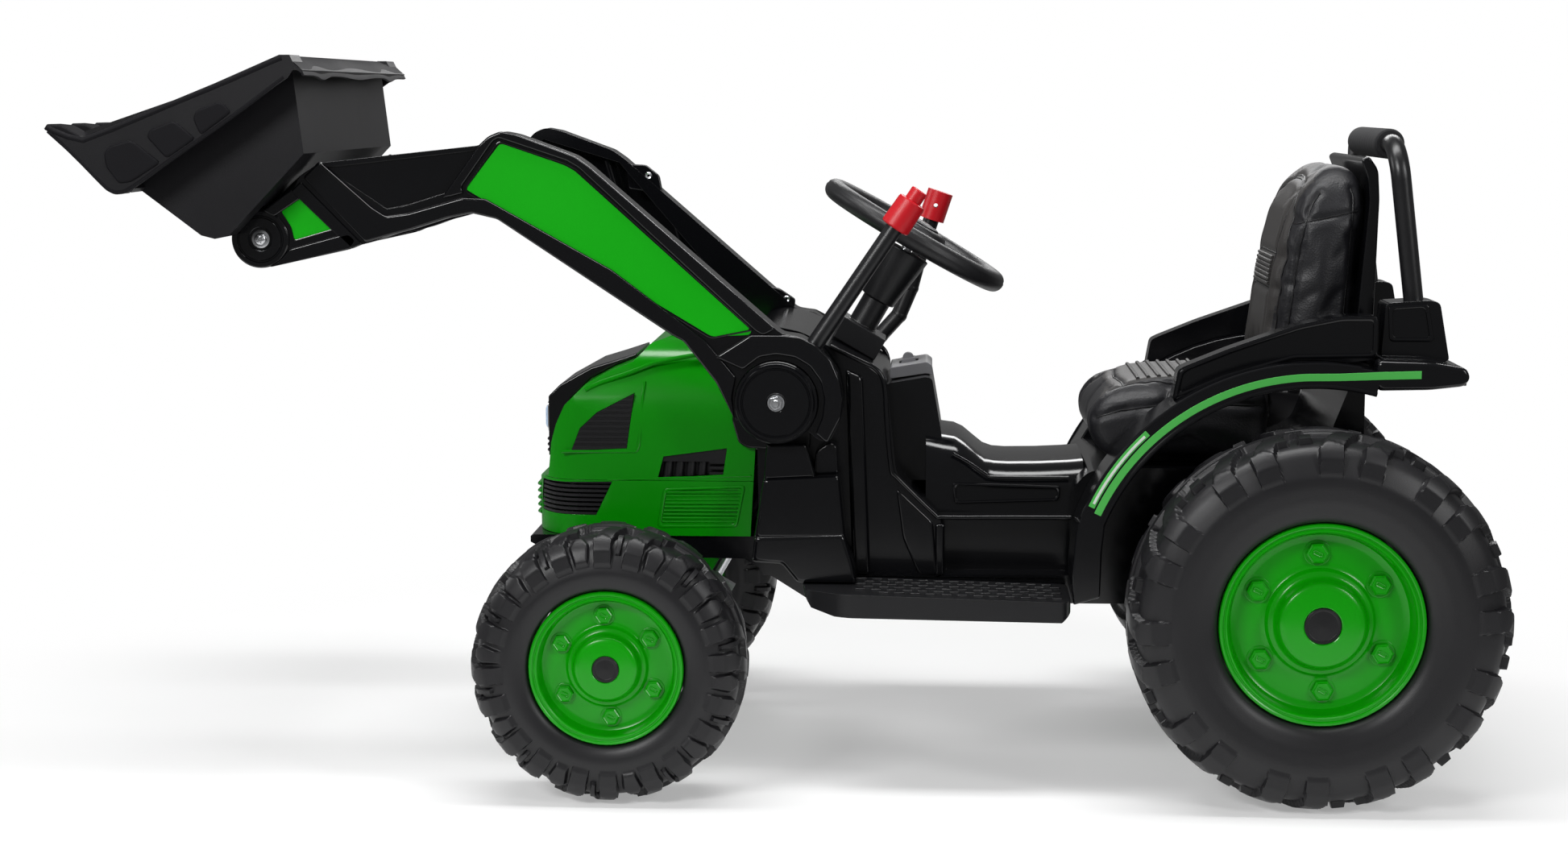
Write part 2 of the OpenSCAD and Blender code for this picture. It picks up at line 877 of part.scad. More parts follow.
module tie_rod() {
  x = front_hub.x + 45;
  color([0.6, 0.6, 0.62]) {
    translate([x - 5, -kingpin_y - 6, 120]) cube([10, 2 * kingpin_y + 12, 6]);
    for (side = [-1, 1]) translate([x, side * kingpin_y, 125]) cylinder(r = 3, h = 14);
    for (side = [-1, 1]) translate([x - 5, side * 7.5 - 1.5, 125]) cube([61, 3, 30]);
  }
}

pedal_hinge = [142, 209.5];

module accelerator_pedal() {
  color([0.08, 0.08, 0.08]) {
    slab(172, 212)
      polygon(soft([
        [146, 207], [146, 212], [140, 214], [84, 229], [81, 226], [84, 222], [136, 207]
      ], 1.5));
    across(pedal_hinge, 1.8, 168, 216);
  }
}

// ---- Wheels ----
// A tyre is an open carcass, closed by its rim, with two staggered rows of shoulder lugs
module tyre(r, w, rim_r, rows) {
  bead = rim_r + 0.1;
  s = w / 118;
  tread = r - 9;
  inner = tread - 4;
  outside = [
    [bead, 39 * s], [bead + 10, 47 * s], [bead + 0.5 * (tread - bead), 59 * s],
    [tread - 12, 56 * s], [tread - 3, 48 * s], [tread, 30 * s]
  ];
  inside = [
    [inner, 28 * s], [inner - 3, 44 * s], [tread - 15, 52 * s],
    [bead + 0.5 * (tread - bead), 55 * s], [bead + 12, 43 * s], [bead, 35 * s]
  ];
  rotate_extrude($fn = 128)
    polygon(soft(concat(
      outside, [for (p = clockwise(outside)) [p.x, -p.y]],
      [for (p = clockwise(inside)) [p.x, -p.y]], inside
    ), 6, 2));
  step = 360 / rows;
  for (k = [0 : rows - 1])
    for (row = [0, 1])
      rotate([0, 0, 90 + step * (k + row / 2)])
        translate([0, 0, row == 0 ? 6 * s : -46 * s])
          linear_extrude(40 * s)
            polygon(concat(
              arc([0, 0], r / cos(0.24 * step), -0.24 * step, 0.24 * step, 1),
              arc([0, 0], tread - 3, 0.28 * step, -0.28 * step, 2)
            ));
}

// A rim is a dished cover with a barrel, a raised hub and six moulded bolt heads
module rim(r, flange_z, w) {
  k = r / 101.4;
  z = flange_z;
  difference() {
    union() {
      rotate_extrude($fn = 128)
        polygon([
          [r, -w / 3], [r, z], [95 * k, z], [86 * k, z - 17 * k], [54 * k, z - 17 * k],
          [51 * k, z - 9 * k], [43 * k, z - 7 * k], [40 * k, z + 3 * k],
          [18 * k, z + 5.5 * k], [18 * k, z + 7 * k], [0, z + 7 * k], [0, z + 2 * k],
          [36 * k, z - k], [39 * k, z - 11 * k], [47 * k, z - 13 * k],
          [50 * k, z - 20.5 * k], [88 * k, z - 20.5 * k], [r - 3.5, z - 6 * k],
          [r - 3.5, -w / 3]
        ]);
      translate([0, 0, -w / 2 + 6]) cylinder(r = 14, h = z + w / 2 - 6 + 4 * k);
      for (a = [30 : 60 : 330])
        rotate([0, 0, a])
          translate([69 * k, 0, z - 18 * k])
            cylinder(r = 11 * k, h = 8 * k, $fn = 6);
    }
    translate([0, 0, -w / 2]) cylinder(r = axle_d / 2 + running, h = z + w / 2 - 2);
  }
}

rear_rim_r = 101.4;
front_rim_r = 77.8;

module rear_tyre(side) {
  color([0.06, 0.06, 0.06])
    at_wheel(rear_hub, rear_y, side) tyre(rear_tyre_d / 2, rear_tyre_w, rear_rim_r, 20);
}

module rear_rim(side) {
  color([0.1, 0.6, 0.05]) at_wheel(rear_hub, rear_y, side) rim(rear_rim_r, 39, rear_tyre_w);
}

module front_tyre(side) {
  color([0.06, 0.06, 0.06])
    at_wheel(front_hub, front_y, side) tyre(front_tyre_d / 2, front_tyre_w, front_rim_r, 20);
}

module front_rim(side) {
  color([0.1, 0.6, 0.05]) at_wheel(front_hub, front_y, side) rim(front_rim_r, 43, front_tyre_w);
}

chassis_tub();
body_shell();
hood_upper();
hood_lower();
hood_visor();
side_vents();
engine_inserts();
lamp_grilles();
headlights();
pivot_tower(-1);  // pivot_tower_left
pivot_tower(1);  // pivot_tower_right
pivot_hubs();
control_panel();
direction_switch();
footboard(-1);  // footboard_left
footboard(1);  // footboard_right
seat_cushion();
backrest_shell();
backrest_cushion();
fender(-1);  // fender_left
fender(1);  // fender_right
armrest(-1);  // armrest_left
armrest(1);  // armrest_right
fender_stripes();
rear_bumper();
roll_bar();
roll_bar_grip();
steering_column();
battery();
control_box();
drive_gearboxes();
rear_axle();
front_axle_beam();
steering_gearbox();
loader_shaft();
lift_arm(-1);  // lift_arm_left
lift_arm(1);  // lift_arm_right
arm_inlays();
lift_lever();
lift_lever_grip();
release_button();
tilt_lever();
tilt_lever_knob();
bucket();
bucket_bolts();
steering_wheel();
steering_shaft();
horn_button();
knuckle(-1);  // knuckle_left
knuckle(1);  // knuckle_right
tie_rod();
accelerator_pedal();
front_tyre(-1);  // front_left_tyre
front_rim(-1);  // front_left_rim
front_tyre(1);  // front_right_tyre
front_rim(1);  // front_right_rim
rear_tyre(-1);  // rear_left_tyre
rear_rim(-1);  // rear_left_rim
rear_tyre(1);  // rear_right_tyre
rear_rim(1);  // rear_right_rim
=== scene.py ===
"""Looks of the ride-on front loader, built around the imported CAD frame.

Shapes are written in millimetres and made in metres. -X is the bucket end, -Y the driver's left.
"""
import json
import math

import bmesh
import bpy
import numpy as np
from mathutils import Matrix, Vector
from mathutils.bvhtree import BVHTree
from mathutils.kdtree import KDTree


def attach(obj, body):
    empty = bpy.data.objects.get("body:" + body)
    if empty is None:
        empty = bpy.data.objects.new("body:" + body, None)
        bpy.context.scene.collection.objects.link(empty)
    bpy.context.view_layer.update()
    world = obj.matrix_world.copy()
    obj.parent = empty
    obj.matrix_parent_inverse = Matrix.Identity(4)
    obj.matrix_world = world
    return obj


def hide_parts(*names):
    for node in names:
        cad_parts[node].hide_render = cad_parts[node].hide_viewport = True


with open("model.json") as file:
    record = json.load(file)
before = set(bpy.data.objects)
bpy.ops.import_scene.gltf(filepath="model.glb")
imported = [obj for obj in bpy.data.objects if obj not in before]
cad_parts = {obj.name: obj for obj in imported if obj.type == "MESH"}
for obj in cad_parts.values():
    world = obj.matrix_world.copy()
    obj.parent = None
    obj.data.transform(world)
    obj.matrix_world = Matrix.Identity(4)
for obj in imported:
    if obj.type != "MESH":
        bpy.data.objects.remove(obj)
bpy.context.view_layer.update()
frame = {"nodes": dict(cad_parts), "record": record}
MM = 0.001
LEFT, RIGHT = -1, 1

# ---- Camera, lights and floor ----
camera_data = bpy.data.cameras.new("camera")
camera = bpy.data.objects.new("camera", camera_data)
bpy.context.scene.collection.objects.link(camera)
camera.location = (0.151, -2.788, 0.703)
camera_data.sensor_width = 36
camera_data.lens = 3200 / 1946 * 36
yaw, pitch = -0.0559, -0.1271
gaze = Vector((math.sin(yaw) * math.cos(pitch), math.cos(yaw) * math.cos(pitch), math.sin(pitch)))
camera.rotation_mode = "QUATERNION"
camera.rotation_quaternion = gaze.to_track_quat("-Z", "Y")
bpy.context.scene.camera = camera
bpy.context.scene.view_settings.view_transform = "Standard"

world = bpy.data.worlds.new("studio")
bpy.context.scene.world = world
world.use_nodes = True
sky_nodes, sky_links = world.node_tree.nodes, world.node_tree.links
sky_nodes["Background"].inputs[0].default_value = (1, 1, 1, 1)
seen = sky_nodes.new("ShaderNodeLightPath").outputs["Is Camera Ray"]
sky_level = sky_nodes.new("ShaderNodeMapRange")
sky_level.inputs[3].default_value = 0.16
sky_level.inputs[4].default_value = 1.0
sky_links.new(seen, sky_level.inputs[0])
sky_links.new(sky_level.outputs[0], sky_nodes["Background"].inputs[1])


def area_light(name, place, target, size, power):
    data = bpy.data.lights.new(name, "AREA")
    data.shape, data.size, data.size_y, data.energy = "RECTANGLE", size[0], size[1], power
    light = bpy.data.objects.new(name, data)
    bpy.context.scene.collection.objects.link(light)
    light.location = place
    light.rotation_mode = "QUATERNION"
    light.rotation_quaternion = (Vector(target) - Vector(place)).to_track_quat("-Z", "Y")


area_light("key", (-1.5, -2.5, 2.0), (0, 0, 0.35), (1.1, 0.6), 52)
area_light("fill", (2.4, -2.0, 1.6), (0.1, 0, 0.35), (0.5, 1.2), 26)
area_light("top", (0.0, -0.3, 2.4), (0, 0, 0.3), (2.2, 0.5), 46)
area_light("back", (0.6, 2.4, 1.8), (0, 0, 0.4), (2.0, 0.6), 24)
area_light("left_end", (-2.6, 0.4, 1.3), (0, 0, 0.4), (0.9, 0.6), 12)


# ---- Materials ----
def material(name, colour, rough=0.4, grain=0.0, grain_size=0.6, mottle=0.12, metal=0.0,
             coat=0.0, spec=0.5, wave=0.0):
    """A moulded or coated surface: colour mottled at one broad scale, uneven gloss, and a fine relief."""
    m = bpy.data.materials.new(name)
    m.use_nodes = True
    nodes, links = m.node_tree.nodes, m.node_tree.links
    shader = nodes["Principled BSDF"]
    place = nodes.new("ShaderNodeTexCoord").outputs["Object"]

    def noise(scale, detail=4.0):
        n = nodes.new("ShaderNodeTexNoise")
        n.inputs["Scale"].default_value = scale
        n.inputs["Detail"].default_value = detail
        links.new(place, n.inputs["Vector"])
        return n.outputs["Fac"]

    broad, fine = noise(9.0, 5.0), noise(1.0 / (grain_size * MM), 3.0)
    ramp = nodes.new("ShaderNodeMix")
    ramp.data_type = "RGBA"
    links.new(broad, ramp.inputs[0])
    ramp.inputs[6].default_value = [c * (1 - mottle) for c in colour[:3]] + [1]
    ramp.inputs[7].default_value = [min(1, c * (1 + mottle)) for c in colour[:3]] + [1]
    links.new(ramp.outputs[2], shader.inputs["Base Color"])
    gloss = nodes.new("ShaderNodeMapRange")
    links.new(broad, gloss.inputs[0])
    gloss.inputs[3].default_value = rough * 0.86
    gloss.inputs[4].default_value = min(1, rough * 1.16)
    links.new(gloss.outputs[0], shader.inputs["Roughness"])
    shader.inputs["Metallic"].default_value = metal
    shader.inputs["Specular IOR Level"].default_value = spec
    shader.inputs["Coat Weight"].default_value = coat
    shader.inputs["Coat Roughness"].default_value = 0.04
    bump = nodes.new("ShaderNodeBump")
    bump.inputs["Strength"].default_value = 0.25 + grain
    bump.inputs["Distance"].default_value = 0.00025 if grain else 0.0001
    links.new(fine, bump.inputs["Height"])
    if wave:
        slow = nodes.new("ShaderNodeBump")
        slow.inputs["Strength"].default_value = 0.5
        slow.inputs["Distance"].default_value = wave * MM
        links.new(noise(14.0, 1.0), slow.inputs["Height"])
        links.new(slow.outputs[0], bump.inputs["Normal"])
    links.new(bump.outputs[0], shader.inputs["Normal"])
    return m


def leather(name, colour):
    m = material(name, colour, 0.44, grain=0.1, grain_size=2.2, mottle=0.2, spec=0.4)
    nodes, links = m.node_tree.nodes, m.node_tree.links
    cells = nodes.new("ShaderNodeTexVoronoi")
    cells.inputs["Scale"].default_value = 520
    place = [n for n in nodes if n.type == "TEX_COORD"][0].outputs["Object"]
    links.new(place, cells.inputs["Vector"])
    bumps = [n for n in nodes if n.type == "BUMP"]
    pebble = nodes.new("ShaderNodeBump")
    pebble.inputs["Strength"].default_value = 0.35
    pebble.inputs["Distance"].default_value = 0.0004
    links.new(cells.outputs["Distance"], pebble.inputs["Height"])
    links.new(pebble.outputs[0], bumps[0].inputs["Normal"])
    return m


GLOSS = material("black_gloss", (0.0028, 0.0029, 0.0036), 0.13, mottle=0.25, wave=0.12, spec=0.42)
SATIN = material("black_satin", (0.007, 0.007, 0.008), 0.36, grain=0.15, mottle=0.2, spec=0.35)
BUCKET = material("bucket_satin", (0.0085, 0.0082, 0.0098), 0.36, grain=0.1, mottle=0.15, spec=0.32)
GREEN = material("green_body", (0.002, 0.225, 0.001), 0.18, mottle=0.06, wave=0.12, spec=0.36)
RIM = material("green_rim", (0.003, 0.30, 0.001), 0.22, mottle=0.06, wave=0.1, spec=0.34)
DECAL = material("green_decal", (0.001, 0.37, 0.001), 0.45, mottle=0.03, spec=0.2)
EDGE = material("bucket_edge", (0.0085, 0.0082, 0.0098), 0.6, grain=0.1, mottle=0.15, spec=0.1)
STRIPE = material("green_stripe", (0.07, 0.42, 0.075), 0.4, mottle=0.03, spec=0.25)
# A pale near-white film for the upper fender stripe: a painted highlight.
PAINTED_HIGHLIGHT = material("painted_highlight", (0.62, 0.68, 0.62), 0.4, mottle=0.04)
TYRE = material("tyre", (0.0085, 0.0082, 0.0096), 0.4, grain=0.15, grain_size=0.9, mottle=0.18, spec=0.4)
GREY = material("grey_panel", (0.16, 0.16, 0.17), 0.42, grain=0.15, mottle=0.1)
LEATHER = leather("leather", (0.0085, 0.0085, 0.0105))
# A lighter copy of the leather: painted light on the centre panels' faces that turn to the front and top lamps.
LEATHER_PAINTED_LIT = leather("leather_painted_lit", (0.030, 0.028, 0.027))
TUBE = material("black_tube", (0.006, 0.006, 0.007), 0.3, grain=0.1, mottle=0.2)
FOAM = material("foam", (0.0075, 0.0075, 0.009), 0.85, grain=0.6, grain_size=1.4, mottle=0.25)
ZINC = material("zinc", (0.62, 0.63, 0.65), 0.28, metal=1.0, mottle=0.1, grain=0.05)
RED = material("red_grip", (0.50, 0.002, 0.009), 0.36, grain=0.12, mottle=0.08)
WHEEL = material("wheel_rubber", (0.007, 0.007, 0.0082), 0.42, grain=0.5, grain_size=1.1, mottle=0.2)
LENS = material("lens", (0.55, 0.68, 0.85), 0.12, mottle=0.15, coat=0.5)


def floor_material():
    """Matte white paint, which fades to plain white away from the object."""
    m = material("floor_paint", (0.93, 0.93, 0.93), 0.6, mottle=0.01)
    nodes, links = m.node_tree.nodes, m.node_tree.links
    shader = nodes["Principled BSDF"]
    shader.inputs["Specular IOR Level"].default_value = 0.1
    place = nodes.new("ShaderNodeTexCoord").outputs["Object"]
    reach = nodes.new("ShaderNodeVectorMath")
    reach.operation = "LENGTH"
    links.new(place, reach.inputs[0])
    fade = nodes.new("ShaderNodeMapRange")
    fade.interpolation_type = "SMOOTHSTEP"
    fade.inputs[1].default_value = 0.6
    fade.inputs[2].default_value = 1.2
    fade.inputs[3].default_value = 0.32
    links.new(reach.outputs["Value"], fade.inputs[0])
    glow = nodes.new("ShaderNodeEmission")
    both = nodes.new("ShaderNodeMixShader")
    links.new(fade.outputs[0], both.inputs[0])
    links.new(shader.outputs[0], both.inputs[1])
    links.new(glow.outputs[0], both.inputs[2])
    links.new(both.outputs[0], nodes["Material Output"].inputs["Surface"])
    return m


FLOOR = floor_material()


# ---- Mesh helpers: outlines in millimetres, meshes in metres ----
def finish_piece(piece, mat, body, replaces=(), angle=34, weighted=True):
    mesh = piece.data
    if not mesh.materials:
        mesh.materials.append(mat)
    mesh.shade_smooth()
    mesh.set_sharp_from_angle(angle=math.radians(angle))
    if weighted:
        piece.modifiers.new("normals", "WEIGHTED_NORMAL").keep_sharp = True
    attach(piece, body)
    if replaces:
        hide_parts(*replaces)
    return piece


def new_piece(name, verts, faces, mat, body, replaces=(), angle=34, weighted=True, scale=MM):
    mesh = bpy.data.meshes.new(name)
    mesh.from_pydata([tuple(float(c) * scale for c in v) for v in verts], [], faces)
    mesh.validate()
    bm = bmesh.new()
    bm.from_mesh(mesh)
    bmesh.ops.remove_doubles(bm, verts=bm.verts, dist=2e-6)
    bmesh.ops.recalc_face_normals(bm, faces=bm.faces)
    bm.to_mesh(mesh)
    bm.free()
    piece = bpy.data.objects.new(name, mesh)
    bpy.context.scene.collection.objects.link(piece)
    return finish_piece(piece, mat, body, replaces, angle, weighted)


class Shape:
    """Vertices and faces gathered from several forms, then made into one piece."""

    def __init__(self):
        self.v, self.f = [], []

    def add(self, verts, faces):
        n = len(self.v)
        self.v += [tuple(p) for p in verts]
        self.f += [tuple(i + n for i in f) for f in faces]
        return self

    def mirrored(self):
        """Adds the mirror image on the vehicle's other side."""
        n = len(self.v)
        self.v += [(x, -y, z) for x, y, z in self.v[:n]]
        self.f += [tuple(i + n for i in reversed(f)) for f in list(self.f)]
        return self

    def flipped(self, side):
        """Mirrors a shape made for the left when side is the right."""
        if side > 0:
            self.v = [(x, -y, z) for x, y, z in self.v]
            self.f = [tuple(reversed(f)) for f in self.f]
        return self

    def moved(self, place):
        """Puts the shape through a function of x, y and z."""
        self.v = [tuple(place(*p)) for p in self.v]
        return self

    def piece(self, name, mat, body, slot, replaces=(), angle=34, weighted=True):
        return new_piece(name, self.v, self.f, mat, body, replaces, angle, weighted)


def area_of(p):
    return 0.5 * sum(a[0] * b[1] - b[0] * a[1] for a, b in zip(p, p[1:] + p[:1]))


def ccw(p):
    p = [tuple(q) for q in p]
    return p if area_of(p) > 0 else p[::-1]


def inset(p, d):
    """Moves each side of an anticlockwise outline inwards by d."""
    out = []
    for i, b in enumerate(p):
        a, c = p[i - 1], p[(i + 1) % len(p)]
        u = np.subtract(b, a) / max(1e-9, math.dist(a, b))
        v = np.subtract(c, b) / max(1e-9, math.dist(c, b))
        m, n = np.array((-u[1], u[0])), np.array((-v[1], v[0]))
        out.append(tuple(np.array(b) + d * (m + n) / max(0.3, 1 + m @ n)))
    return out


def soft(p, r, n=4):
    """Rounds each corner with a short curve that starts r from it."""
    out = []
    for i, b in enumerate(p):
        a, c = np.array(p[i - 1], float), np.array(p[(i + 1) % len(p)], float)
        b = np.array(b, float)
        t = min(r, 0.45 * np.linalg.norm(a - b), 0.45 * np.linalg.norm(c - b))
        s = b + t * (a - b) / max(1e-9, np.linalg.norm(a - b))
        e = b + t * (c - b) / max(1e-9, np.linalg.norm(c - b))
        for k in range(n + 1):
            q = k / n
            out.append(tuple((1 - q) ** 2 * s + 2 * q * (1 - q) * b + q * q * e))
    return out


def arc(c, r, a, b, n):
    return [(c[0] + r * math.cos(math.radians(a + (b - a) * k / n)),
             c[1] + r * math.sin(math.radians(a + (b - a) * k / n))) for k in range(n + 1)]


def plate(outline, y0, y1, r=2.0, corner=0.0, back=None, steps=3):
    """A slab of an (x, z) outline from y0 to y1, with its edges rounded by r at y0 and by back at y1."""
    back = r if back is None else back
    p = ccw(outline)
    sign = 1 if y1 > y0 else -1
    rings = []
    for k in range(steps + 1):
        a = math.pi / 2 * k / steps
        rings.append((r * (1 - math.sin(a)), y0 + sign * r * (1 - math.cos(a))))
    for k in range(steps + 1):
        a = math.pi / 2 * (steps - k) / steps
        rings.append((back * (1 - math.sin(a)), y1 - sign * back * (1 - math.cos(a))))
    if r <= 0:
        rings = [(0, y0)] + rings[steps + 1:]
    if back <= 0:
        rings = rings[:steps + 1 if r > 0 else 1] + [(0, y1)]
    verts, count = [], None
    for d, y in rings:
        ring = inset(p, d) if d else p
        ring = soft(ring, corner) if corner else ring
        count = len(ring)
        verts += [(x, y, z) for x, z in ring]
    faces = []
    for j in range(len(rings) - 1):
        for i in range(count):
            k = (i + 1) % count
            faces.append((j * count + i, j * count + k, (j + 1) * count + k, (j + 1) * count + i))
    faces.append(tuple(range(count))[::-1])
    faces.append(tuple(range((len(rings) - 1) * count, len(rings) * count)))
    return verts, faces


def band(outline, width, y0, y1, r=1.5, corner=0.0):
    """A raised border: the strip between an outline and its inset, rounded on its outer face y0."""
    p = ccw(outline)
    sign = 1 if y1 > y0 else -1
    steps = 2
    rings = [(0, y1)]
    for k in range(steps + 1):
        a = math.pi / 2 * k / steps
        rings.append((r * (1 - math.cos(a)), y0 + sign * r * (1 - math.sin(a))))
    for k in range(steps + 1):
        a = math.pi / 2 * (steps - k) / steps
        rings.append((width - r * (1 - math.cos(a)), y0 + sign * r * (1 - math.sin(a))))
    rings.append((width, y1))
    verts, count = [], None
    for d, y in rings:
        ring = inset(p, d) if d else p
        ring = soft(ring, max(corner, 0.01))
        count = len(ring)
        verts += [(x, y, z) for x, z in ring]
    faces = []
    n = len(rings)
    for j in range(n):
        for i in range(count):
            k, m = (i + 1) % count, (j + 1) % n
            faces.append((j * count + i, j * count + k, m * count + k, m * count + i))
    return verts, faces


def revolve(profile, n=64, closed=False):
    """Turns (radius, height) points about the Z axis."""
    verts = [(r * math.cos(2 * math.pi * i / n), r * math.sin(2 * math.pi * i / n), h)
             for r, h in profile for i in range(n)]
    faces = []
    m = len(profile)
    for j in range(m if closed else m - 1):
        k = (j + 1) % m
        for i in range(n):
            q = (i + 1) % n
            faces.append((j * n + i, j * n + q, k * n + q, k * n + i))
    if not closed:
        if profile[0][0] > 1e-6:
            faces.append(tuple(range(n))[::-1])
        if profile[-1][0] > 1e-6:
            faces.append(tuple(range((m - 1) * n, m * n)))
    return verts, faces


def rounded_rod(r, h0, h1, e):
    """The profile of a rod from h0 to h1 with its end edges rounded by e."""
    q = [math.pi / 2 * k / 3 for k in range(4)]
    return ([(r - e + e * math.sin(a), h0 + e - e * math.cos(a)) for a in q]
            + [(r - e + e * math.cos(a), h1 - e + e * math.sin(a)) for a in q])


def hexagon(r, turn=0.0):
    return [(r * math.cos(math.radians(turn + 60 * k)), r * math.sin(math.radians(turn + 60 * k)))
            for k in range(6)]


def stack(outline, levels):
    """Joins scaled copies of an (x, y) outline: levels are (inset, height)."""
    verts, faces, count = [], [], len(outline)
    for d, h in levels:
        verts += [(x, y, h) for x, y in (inset(ccw(outline), d) if d else ccw(outline))]
    for j in range(len(levels) - 1):
        for i in range(count):
            k = (i + 1) % count
            faces.append((j * count + i, j * count + k, (j + 1) * count + k, (j + 1) * count + i))
    faces.append(tuple(range((len(levels) - 1) * count, len(levels) * count)))
    faces.append(tuple(range(count))[::-1])
    return verts, faces


def smooth_path(points, n=8):
    """A Catmull-Rom curve through the points."""
    p = [np.array(q, float) for q in points]
    p = [2 * p[0] - p[1]] + p + [2 * p[-1] - p[-2]]
    out = []
    for i in range(1, len(p) - 2):
        for k in range(n):
            t = k / n
            out.append(0.5 * (2 * p[i] + (p[i + 1] - p[i - 1]) * t
                              + (2 * p[i - 1] - 5 * p[i] + 4 * p[i + 1] - p[i + 2]) * t * t
                              + (3 * p[i] - p[i - 1] - 3 * p[i + 1] + p[i + 2]) * t ** 3))
    return out + [p[-2]]


def tube(path, r, n=20):
    """A closed round tube along a path."""
    p = [np.array(q, float) for q in path]
    verts, faces = [], []
    d = [p[min(i + 1, len(p) - 1)] - p[max(i - 1, 0)] for i in range(len(p))]
    d = [v / np.linalg.norm(v) for v in d]
    side = np.cross(d[0], (0, 1, 0) if abs(d[0][1]) < 0.9 else (1, 0, 0))
    side /= np.linalg.norm(side)
    outline = [(math.cos(2 * math.pi * k / n), math.sin(2 * math.pi * k / n)) for k in range(n)]
    for i, q in enumerate(p):
        side = side - d[i] * (side @ d[i])
        side /= np.linalg.norm(side)
        up = np.cross(d[i], side)
        verts += [tuple(q + r * (u * side + v * up)) for u, v in outline]
    for j in range(len(p) - 1):
        for i in range(n):
            k = (i + 1) % n
            faces.append((j * n + i, j * n + k, (j + 1) * n + k, (j + 1) * n + i))
    faces.append(tuple(range(n))[::-1])
    faces.append(tuple(range((len(p) - 1) * n, len(p) * n)))
    return verts, faces


def block(lo, hi, r=1.5):
    """A box with rounded edges, as a plate seen from the side."""
    (x0, y0, z0), (x1, y1, z1) = lo, hi
    return plate([(x0, z0), (x1, z0), (x1, z1), (x0, z1)], y0, y1, r, corner=r)


def refined(node, width, mat, body):
    """A copy of a CAD node with its flat faces merged and its edges rounded."""
    bm = bmesh.new()
    bm.from_mesh(frame["nodes"][node].data)
    bmesh.ops.remove_doubles(bm, verts=bm.verts, dist=1e-5)
    bmesh.ops.dissolve_limit(bm, angle_limit=math.radians(0.8), verts=bm.verts, edges=bm.edges)
    sharp = [e for e in bm.edges
             if len(e.link_faces) == 2 and abs(e.calc_face_angle(0)) > math.radians(30)]
    bmesh.ops.bevel(bm, geom=sharp, offset=width * MM, offset_type="OFFSET", segments=2,
                    profile=0.5, affect="EDGES", clamp_overlap=True, loop_slide=True)
    bmesh.ops.remove_doubles(bm, verts=bm.verts, dist=1e-6)
    mesh = bpy.data.meshes.new(node + "_skin")
    bm.to_mesh(mesh)
    bm.free()
    piece = bpy.data.objects.new(node + "_skin", mesh)
    bpy.context.scene.collection.objects.link(piece)
    return finish_piece(piece, mat, body, (node,), 34)


# ---- Shared places, in millimetres ----
REAR_HUB, FRONT_HUB = (539, 190), (-166, 140)
ARM_PIVOT, BUCKET_PIVOT = (-3, 394), (-533, 559)


# ---- Tyres ----
def smoothstep(x):
    x = np.clip(x, 0, 1)
    return x * x * (3 - 2 * x)


def convex(s, t, points, edge):
    """How far a lug stands up: 1 inside a convex outline, falling to 0 over edge outside it."""
    p = ccw(points)
    d = np.full(np.broadcast(s, t).shape, 1e9)
    for a, b in zip(p, p[1:] + p[:1]):
        n = np.array((-(b[1] - a[1]), b[0] - a[0]), float)
        n /= np.linalg.norm(n)
        d = np.minimum(d, (s - a[0]) * n[0] + (t - a[1]) * n[1])
    return smoothstep(d / edge + 1)


def tyre_piece(name, hub, y, side, r, turn, lugs, carcass, height, node, body):
    """A tyre as a grid round the wheel and across its profile, raised where its lugs are."""
    around, periods = 900, 10
    profile = np.array(carcass, float)
    dense = [profile[0]]
    for a, b in zip(profile[:-1], profile[1:]):
        k = max(1, int(math.dist(a, b) / 1.5))
        dense += [a + (b - a) * (i + 1) / k for i in range(k)]
    q = np.array(dense)
    for _ in range(6):
        q[1:-1] = 0.25 * q[:-2] + 0.5 * q[1:-1] + 0.25 * q[2:]
    step = np.r_[0, np.cumsum(np.hypot(*np.diff(q, axis=0).T))]
    crown = step[np.argmin(np.abs(q[:, 1]))]
    t = step - crown
    d = np.gradient(q, axis=0)
    d /= np.linalg.norm(d, axis=1)[:, None]
    out = np.stack((d[:, 1], -d[:, 0]), 1)
    if out[len(q) // 2, 0] < 0:
        out = -out
    phi = np.arange(around) * 360 / around
    period = 360 / periods
    lift = np.zeros((around, len(q)))
    for row in (1, -1):
        shift = 0 if row > 0 else period / 2
        for points, rise, edge in lugs:
            mid = sum(p[0] for p in points) / len(points)
            s = (phi - shift - mid + period / 2) % period - period / 2 + mid
            k = math.radians(1) * r
            outline = [(p[0] * k, p[1]) for p in points]
            high = rise * convex((s * k)[:, None], (t * row)[None, :], outline, edge)
            lift = np.maximum(lift, high)
    lift *= height
    radius = q[:, 0][None] + lift * out[:, 0][None]
    axial = q[:, 1][None] + lift * out[:, 1][None]
    axial = np.clip(axial, -carcass_half[name.split("_")[0]], carcass_half[name.split("_")[0]])
    angle = np.radians(phi + turn)[:, None]
    x, z = hub[0] + radius * np.cos(angle), hub[1] + radius * np.sin(angle)
    yy = side * (y + axial)
    verts = np.stack((x, yy, z), -1).reshape(-1, 3)
    m = len(q)
    faces = []
    for i in range(around):
        k = (i + 1) % around
        faces += [(i * m + j, i * m + j + 1, k * m + j + 1, k * m + j) for j in range(m - 1)]
        faces.append((i * m + m - 1, i * m, k * m, k * m + m - 1))
    return new_piece(name, verts, faces, TYRE, body, (node,), 50, False)


carcass_half = {"rear": 58.3, "front": 49.2}
